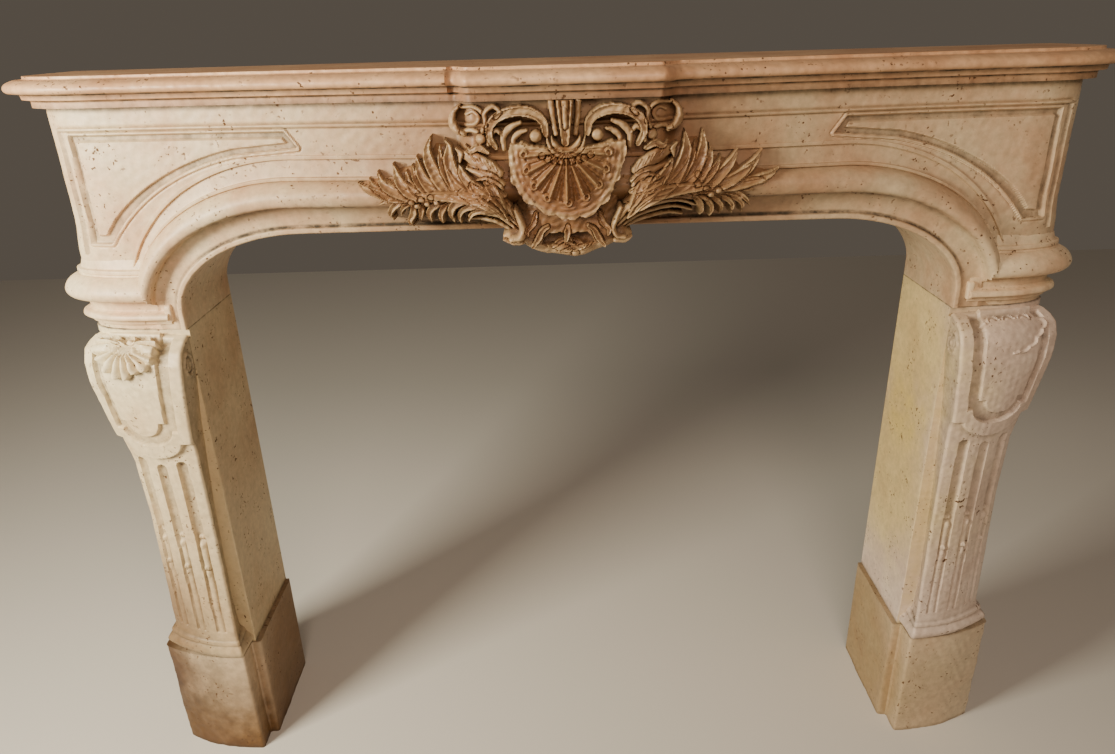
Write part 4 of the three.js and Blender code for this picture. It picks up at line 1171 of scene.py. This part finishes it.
def lay_lip(slab):
    """The hanging lip: a swelling body with rolled curls at its corners, a strap, a ragged tongue and a
    small drop."""
    field, x, z = slab
    inside = signed_distance(x, z, LIP_OUTLINE)
    ripple = 1.6 * np.sin(0.21 * x + 0.09 * z) * smooth(925, 905, z)
    raise_to(field, inside, -14 + 18 * np.sqrt(np.clip(inside / 22, 0, 1)) + ripple)
    for side, thick in ((-1, 5.5), (1, 3.2)):
        curl = placed(side, (66, 930), (60, 916), (57, 904), (62, 894), (72, 892))
        lay(slab, curl, [(0, 3), (0.6, thick), (1, 0.8 * thick)], [(0, 6), (1, 5)], [(0, 8), (1, 7)])
        lay(slab, placed(side, (84, 890), (72, 886), (60, 887)), 3, [(0, -4), (1, 0)], 5)
        strap = placed(side, (26, 908), (33, 903), (38, 893), (46, 881))
        lay(slab, strap, [(0, 2.5), (0.6, 4), (1, 2)], [(0, 5), (1, 1)], [(0, 6), (1, 5)], band)
        dark = placed(side, (3, 896), (10, 900), (24, 899), (31, 893), (34, 884), (18, 880), (6, 884))
        cell = signed_distance(x, z, dark) > 0
        field[cell] = np.minimum(field[cell], -9)
        lay_leaf(slab, placed(side, (2, 890), (12, 886), (22, 880), (30, 884)), 3.5, -4, 4)
        lay_leaf(slab, placed(side, (40, 925), (44, 912), (52, 903), (50, 893)), 4, 5, 4)
    lay_leaf(slab, [(0, 908), (-1, 900), (-2, 893), (-4, 886)], 4.5, 2, 5)
    lay_leaf(slab, [(-20, 882), (-12, 878), (-4, 880), (4, 876)], 4, -5, 5)
    lay_leaf(slab, [(-8, 873), (4, 876), (16, 878), (26, 884)], 4, -5, 5)
    lay_ball(slab, [(9, 870)], 4.5, -8)


def lay_baluster(slab):
    """The post over the shell between reeds, the double collar beneath it and the row of small flowers."""
    for across in (-18, 15):
        reed = [(across, 1059), (across * 0.9, 1040), (across * 0.72, 1022)]
        lay(slab, reed, [(0, 4), (1, 3)], [(0, 10), (1, 14)], 5)
    post = [(-1.5, 1059), (-1.5, 1040), (-1.5, 1012)]
    lay(slab, post, [(0, 11), (0.35, 9), (1, 5)], [(0, 14), (1, 18)], 8, blade)
    lay(slab, [(-1.5, 1058), (-1.5, 1030)], [(0, 4), (1, 2.5)], [(0, 20), (1, 22)], [(0, 4), (1, 3)])
    for radius, wide in ((23, 2.6), (17, 3.4)):
        angle = np.linspace(math.radians(185), math.radians(355), 9)
        ring = [(-1 + radius * math.cos(a), 1021 + radius * math.sin(a)) for a in angle]
        lay(slab, ring, [(0, 1), (0.15, wide), (0.85, wide), (1, 1)], 22, 5)
    lay_ball(slab, [(-1 + 7.2 * number, 991 + 0.45 * number ** 2) for number in range(-4, 5)], 3.4, 25)


LEFT_SPRAY = dict(
    blades=[
        (5, 10, [(190, 945), (222, 948), (242, 953), (256, 958), (268, 965)]),
        (4, 9, [(205, 947), (228, 952), (246, 961), (252, 970)]),
        (6, 11, [(168, 945), (199, 950), (222, 957), (235, 966), (241, 979)]),
        (5, 11, [(160, 945), (188, 953), (199, 965), (203, 980)]),
        (6, 12, [(156, 946), (192, 952), (208, 962), (215, 975), (219, 988)]),
        (5, 12, [(148, 947), (176, 957), (190, 970), (195, 986)]),
        (6, 13, [(138, 948), (162, 955), (178, 967), (185, 981), (188, 997)]),
        (7, 14, [(106, 944), (134, 951), (156, 965), (169, 984), (173, 1004), (167, 1022)]),
        (5, 15, [(108, 948), (134, 957), (149, 973), (156, 992), (157, 1010)]),
        (7, 15, [(100, 950), (126, 957), (140, 972), (146, 992), (145, 1008), (151, 1017)]),
        (5, 14, [(96, 955), (116, 962), (128, 974), (134, 988)]),
        (5, 14, [(84, 944), (112, 947), (150, 949), (190, 951)]),
    ],
    claws=[
        (5, 4, [(182, 944), (212, 946), (232, 942), (243, 936)]),
        (5.5, 4, [(180, 944), (206, 943), (221, 935), (229, 924), (226, 913)]),
        (4, 2, [(176, 942), (198, 940), (212, 931), (216, 920)]),
        (4.5, 6, [(196, 938), (198, 926), (204, 914), (200, 906)]),
        (4, 4, [(184, 938), (188, 926), (190, 914)]),
        (5, 6, [(150, 944), (166, 938), (177, 926), (176, 911)]),
        (4, 4, [(150, 941), (159, 931), (163, 920), (160, 909)]),
        (6, 6, [(104, 942), (126, 945), (142, 938), (149, 926), (146, 911)]),
        (4.5, 1, [(100, 935), (118, 936), (133, 930), (139, 920), (137, 909)]),
        (4, -4, [(96, 928), (110, 929), (123, 923), (128, 912)]),
    ],
    ribs=[
        (3, -16, [(130, 914), (112, 916), (92, 912), (76, 903), (68, 898)]),
        (3, -9, [(128, 921), (110, 925), (90, 922), (75, 911), (64, 901)]),
        (3.4, -1, [(134, 930), (112, 936), (90, 932), (73, 920), (60, 906)]),
        (4, 7, [(150, 942), (120, 947), (94, 944), (76, 932), (62, 916), (57, 904)]),
    ],
    berries=[(197, 941), (184, 945), (171, 948), (190, 936), (177, 939), (165, 941)],
)
RIGHT_SPRAY = dict(
    blades=[
        (5, 10, [(180, 946), (210, 951), (236, 956), (256, 961), (271, 969)]),
        (4, 9, [(196, 947), (222, 951), (242, 955), (258, 953)]),
        (6, 11, [(160, 946), (192, 953), (218, 963), (236, 976), (248, 992)]),
        (5, 11, [(172, 948), (204, 957), (226, 968), (238, 978)]),
        (6, 12, [(148, 947), (176, 955), (196, 968), (208, 981), (216, 995)]),
        (5, 12, [(140, 948), (166, 957), (184, 971), (194, 988)]),
        (6, 13, [(128, 948), (156, 957), (172, 972), (179, 988), (178, 1003)]),
        (7, 14, [(112, 947), (140, 955), (160, 973), (169, 996), (169, 1021)]),
        (5, 14, [(108, 950), (134, 960), (149, 976), (157, 994), (160, 1008)]),
        (7, 15, [(100, 950), (124, 957), (140, 974), (148, 996), (146, 1021)]),
        (5, 14, [(94, 955), (112, 962), (124, 975), (132, 990)]),
        (5, 14, [(84, 945), (112, 948), (150, 951), (186, 952)]),
    ],
    claws=[
        (4.5, 6, [(196, 946), (216, 947), (230, 946), (240, 942)]),
        (4, 5, [(186, 944), (210, 942), (226, 934), (237, 920)]),
        (3.5, 3, [(196, 940), (214, 934), (225, 925), (227, 912)]),
        (3.5, 3, [(186, 940), (203, 933), (212, 924), (213, 911)]),
        (3.5, 3, [(176, 940), (190, 932), (198, 923), (198, 911)]),
        (3.5, 5, [(168, 940), (178, 932), (185, 922), (184, 909)]),
        (4, 5, [(160, 940), (168, 930), (172, 920), (170, 912)]),
    ],
    ribs=[
        (2.6, -16, [(150, 911), (130, 915), (108, 914), (88, 909), (70, 899)]),
        (2.8, -10, [(162, 917), (138, 924), (112, 924), (88, 917), (66, 901)]),
        (3, -3, [(168, 924), (140, 934), (112, 934), (86, 926), (62, 905)]),
        (4, 6, [(178, 934), (150, 944), (120, 947), (94, 942), (74, 929), (60, 911), (57, 903)]),
    ],
    berries=[(164, 966), (163, 955), (174, 949), (190, 946), (181, 941)],
)


def ground_behind(x, z):
    """Depth of the plain work under the carving: the frieze, and the straight part of the arch moulding
    below it."""
    distance = z - CROWN_Z
    profile = arch_profile(1.0)
    moulding = np.interp(distance, profile[:, 0], np.minimum(profile[:, 1], 26))
    base = mix(EDGE_DEPTH, frieze_depth(x), smooth(10, BULGE_WIDTH_SPRING, distance))
    moulded = base + moulding * smooth(*MOULDING_ENDS, np.abs(x))
    return np.where(distance < LINE_WIDTH_CROWN, moulded, frieze_depth(x))


def carrier(x, z):
    """Depth that the carving's heights are measured from: the frieze, with a gentler step at the centre
    break, and a swell of 16 exp(-((z - 944) / 20)^2) where the sprays pass over the arch moulding."""
    sweep = np.clip(1 - (np.abs(x) - BREAK_OUT) / (END_START - BREAK_OUT), 0, 1)
    wing = mix(WING_END_DEPTH, WING_BREAK_DEPTH, sweep ** 1.5)
    swell = 16 * np.exp(-((z - SWELL_Z) / 20) ** 2) * smooth(70, 105, np.abs(x))
    return mix(BREAK_DEPTH, wing, smooth(92, 150, np.abs(x))) + swell


def make_carving(name, low_x, high_x, bottom, back_depth):
    """One slab of the carving between two places across. Where nothing is laid it stays 8 mm behind the
    plain work."""
    across = np.arange(low_x, high_x + 0.01, CARVING_GRID)
    levels = np.arange(CARVING_LOW, CARVING_TOP, CARVING_GRID)
    x, z = np.meshgrid(across, levels, indexing="ij")
    ground = np.where(z < CROWN_Z + 2, back_depth + 2, ground_behind(x, z) - GROUND_BACK) - carrier(x, z)
    field = ground.copy()
    slab = (field, x, z)
    for side, spray in ((-1, LEFT_SPRAY), (1, RIGHT_SPRAY)):
        lay_spray(slab, side, **spray)
    lay_lip(slab)
    for side in (-1, 1):
        lay_scrolls(slab, side)
    lay_shell(slab)
    lay_baluster(slab)
    field = np.where(field > ground + 0.5, np.maximum(field, ground), ground)
    first = np.clip(np.searchsorted(levels, bottom(across)), 0, len(levels) - 2)
    wax = 0.5 * weathering(np.stack([x, z, field], -1), 9, 71)
    front = np.stack([x, carrier(x, z) + field + wax, z], -1)
    points, faces = column_sheet(front, first, back_depth)
    # Painted shade in the hollows, darker the deeper the ground is sunk, with old wax and soot in them; the
    # lip darker towards its bottom; ridges paler, rubbed and with a painted highlight.
    below = blurred(field, 5) - field
    grime_and_shade, wear_and_painted_light = np.zeros((2, len(points)))
    sunk = np.clip(5 - field, 0, 20) * 0.03 * (z > CROWN_Z) + 0.28 * smooth(912, 888, z) * (np.abs(x) < 90)
    grime_and_shade[:field.size] = np.clip(below * 0.06 + sunk, 0, 0.72).ravel()
    wear_and_painted_light[:field.size] = np.clip(-below * 0.06 - 0.1, 0, 0.3).ravel()
    patina_and_shade = 0.94 + 0.06 * np.exp(-(points[:, 0] / 60) ** 2)
    marks = {"grime_and_shade": grime_and_shade, "wear_and_painted_light": wear_and_painted_light, "patina_and_shade": patina_and_shade}
    stone_piece(name, points, faces, lintel_stone, "lintel", marks, 50)


def lip_bottom(x):
    """Lowest line of the carving at each place across, from the outline of the lip."""
    return along(LIP_OUTLINE[:LIP_UNDERSIDE], x)


def spray_bottom(x):
    return np.full(len(x), SPRAY_LOW)


for name, low_x, high_x, bottom, back_depth in (
    ("centre_carving", -84, 82, lip_bottom, APRON_BACK),
    ("left_acanthus", -275, -82, spray_bottom, CARVING_BACK),
    ("right_acanthus", 80, 278, spray_bottom, CARVING_BACK),
):
    make_carving(name, low_x, high_x, bottom, back_depth)

# Capitals
# The arch moulding turns outward over each jamb and runs round the end to the wall: a bolection with its
# fillets, a flat band, an astragal and the bed mouldings that sit on the abacus.

CAPITAL_LOW = [
    (4, JAMB_TOP + JOINT_GAP, 0), (5, 769, 2), (9.5, 770, 0.5), (10.5, 776, 0.8), (15, 777, 1),
    (20.5, 779, 3), (18.5, 786, 3), (11, 787.5, 0.8), (7.5, 789.5, 1), (8, CAPITAL_BAND_Z, 0),
]
CAPITAL_BULGE = [
    (3, CAPITAL_BAND_Z - 0.5, 0), (13, CAPITAL_BAND_Z, 1), (27, 807.5, 4), (32.5, 817, 7), (25, 831, 9),
    (12, 838, 2), (8, 838.5, 0.6), (7.5, 841.5, 0.6), (9.5, 842, 0.5), (9, 847, 0.8), (4, 848, 1),
    (2, 854, 3), (0, 861, 0),
]
CAPITAL_ROOT = 40
CAPITAL_START = 560
CAPITAL_COLUMNS = 24
CAPITAL_SWELL = 5


def mitre_place(heights):
    """Where a line of the capital at each height meets its partner on the arch, which runs at the distance
    from the edge that a slope of 38 up for 24 across gives it."""
    angle = np.linspace(0, 1.0, 300)
    places = []
    for height in heights:
        distance = BAND_WIDTH + np.clip(height - CAPITAL_BAND_Z, 0, 40) / MITRE_SLOPE
        line_x, line_z = arch_line(angle, distance)
        places.append(np.interp(height, line_z, line_x))
    return np.array(places)


def capital_rings(profile, start_x):
    """The profile (offset, height) carried from its inner end round the corner to the wall. Without a place
    for its inner end it is cut to the mitre. Outward it swells by up to 5 mm over the lower mouldings."""
    line = rounded(profile, 5)
    end_x, end_depth, end_out = end_plan(40)
    offset = np.concatenate([line[:, 0], [-CAPITAL_ROOT, -CAPITAL_ROOT]])
    height = np.concatenate([line[:, 1], [line[-1, 1], line[0, 1]]])
    begin = mitre_place(height) if start_x is None else np.full(len(height), start_x)
    inner = mix(begin, END_START - 2, np.linspace(0, 1, CAPITAL_COLUMNS)[:, None])
    x = np.concatenate([inner, np.repeat(end_x[:, None], len(height), axis=1)])
    depth = np.concatenate([frieze_depth(inner), np.repeat(end_depth[:, None], len(height), axis=1)])
    out = np.concatenate([np.tile([0.0, 1.0], (CAPITAL_COLUMNS, 1)), end_out])
    rings = np.empty((len(x), len(offset), 3))
    rings[..., 0] = x + out[:, :1] * (offset + CAPITAL_SWELL * smooth(790, 812, height) * (offset > 0))
    rings[..., 1] = np.maximum(depth + out[:, 1:] * offset, BACK_INSET)
    rings[..., 2] = height
    rings[..., 1] += 0.3 * weathering(rings, 40, 51) * (rings[..., 1] > 4)
    return rings


def upright_rings():
    """The short upright fillet that closes the bed mouldings at the inner end: a rounded bar eased at its
    top."""
    levels = np.array([775, 780, 792, 796, 798, 799])
    drawn = np.array([0, 0, 0, 0.4, 1.4, 3.2])
    middle = CAPITAL_START
    plan = rounded([
        (middle, 140, 0), (566, 140, 0.5), (566, 173, 3), (556, 173, 3), (556, 140, 0.5), (middle, 140, 0),
    ])[:-1]
    rings = np.empty((len(levels), len(plan), 3))
    rings[..., :2] = plan + (np.array([middle, 150]) - plan) / 18 * drawn[:, None, None]
    rings[..., 2] = levels[:, None]
    return rings


for hand, side in SIDES:
    points, faces = tube(upright_rings())
    stone_piece(f"{hand}_capital_end", mirrored(points, side), faces, lintel_stone, "lintel")
    for label, profile, start_x in (("bed", CAPITAL_LOW, CAPITAL_START), ("bolection", CAPITAL_BULGE, None)):
        points, faces = tube(capital_rings(profile, start_x))
        name = f"{hand}_capital_{label}"
        stone_piece(name, mirrored(points, side), faces, lintel_stone, "lintel")

# Shelf
# A single slab, moulded on three sides: bed fillets, a broad ovolo and a thin top fillet. It breaks forward
# over the centre, with a deep quirk at the left break and hardly one at the right.

SHELF_TOP = cad_box[1][2] / MM
SHELF_PROFILE = [
    (15, LINTEL_TOP + JOINT_GAP, 0), (15, 1069, 1), (16, 1070.5, 1), (25, 1071.5, 1), (26, 1078, 1.2),
    (31, 1079, 1), (39.5, 1079.5, 2), (44.5, 1083.5, 5), (42, 1091, 6), (30, 1095.5, 4), (20, 1096, 1),
    (18.5, 1097, 0.6), (18.5, SHELF_TOP, 0.8), (16.5, SHELF_TOP, 0),
]
QUIRK = (-131, 9)

shelf_stone = limestone("waxed_limestone_shelf", "d2ab84", "ba8d69")


def make_shelf():
    """The plan line stepped out by the profile at each height, stacked from the bed to the top."""
    x, depth, out = whole_plan(3.0, 3.0)
    line = rounded(SHELF_PROFILE, 5)
    middle, half = QUIRK
    dip = 7.0 * np.clip(1 - np.abs((x - middle) / half) ** 2, 0, 1) ** 0.5
    dip += 0.8 * np.exp(-((x - 128) / 2.5) ** 2)
    rings = np.empty((len(line), len(x), 3))
    offset = line[:, :1]
    rings[..., 0] = x + out[:, 0] * offset
    rings[..., 1] = depth + out[:, 1] * offset - dip * smooth(1066, 1072, line[:, 1:])
    rings[..., 2] = line[:, 1:]
    rubbed = 0.35 * weathering(rings, 80, 61) + 0.25 * weathering(rings, 12, 62)
    inside = (rings[..., 1] > 8) & (rings[..., 2] < SHELF_TOP - 0.2)
    rings[..., 1] = np.maximum(rings[..., 1] + rubbed * inside, 0)
    points, faces = tube(rings)
    height = points[:, 2]
    grime_and_shade = 0.9 * smooth(2.6, 0.4, np.abs(height - 1078.6)) + 0.75 * smooth(2.0, 0.4, np.abs(height - 1070))
    grime_and_shade += 0.5 * smooth(1069, 1063, height)
    patina_and_shade = 0.45 * smooth(1080, 1070, height) * np.exp(-(points[:, 0] / 400) ** 2)
    marks = {"grime_and_shade": np.clip(grime_and_shade, 0, 1), "patina_and_shade": patina_and_shade}
    stone_piece("shelf_slab", points, faces, shelf_stone, "shelf", marks)


make_shelf()
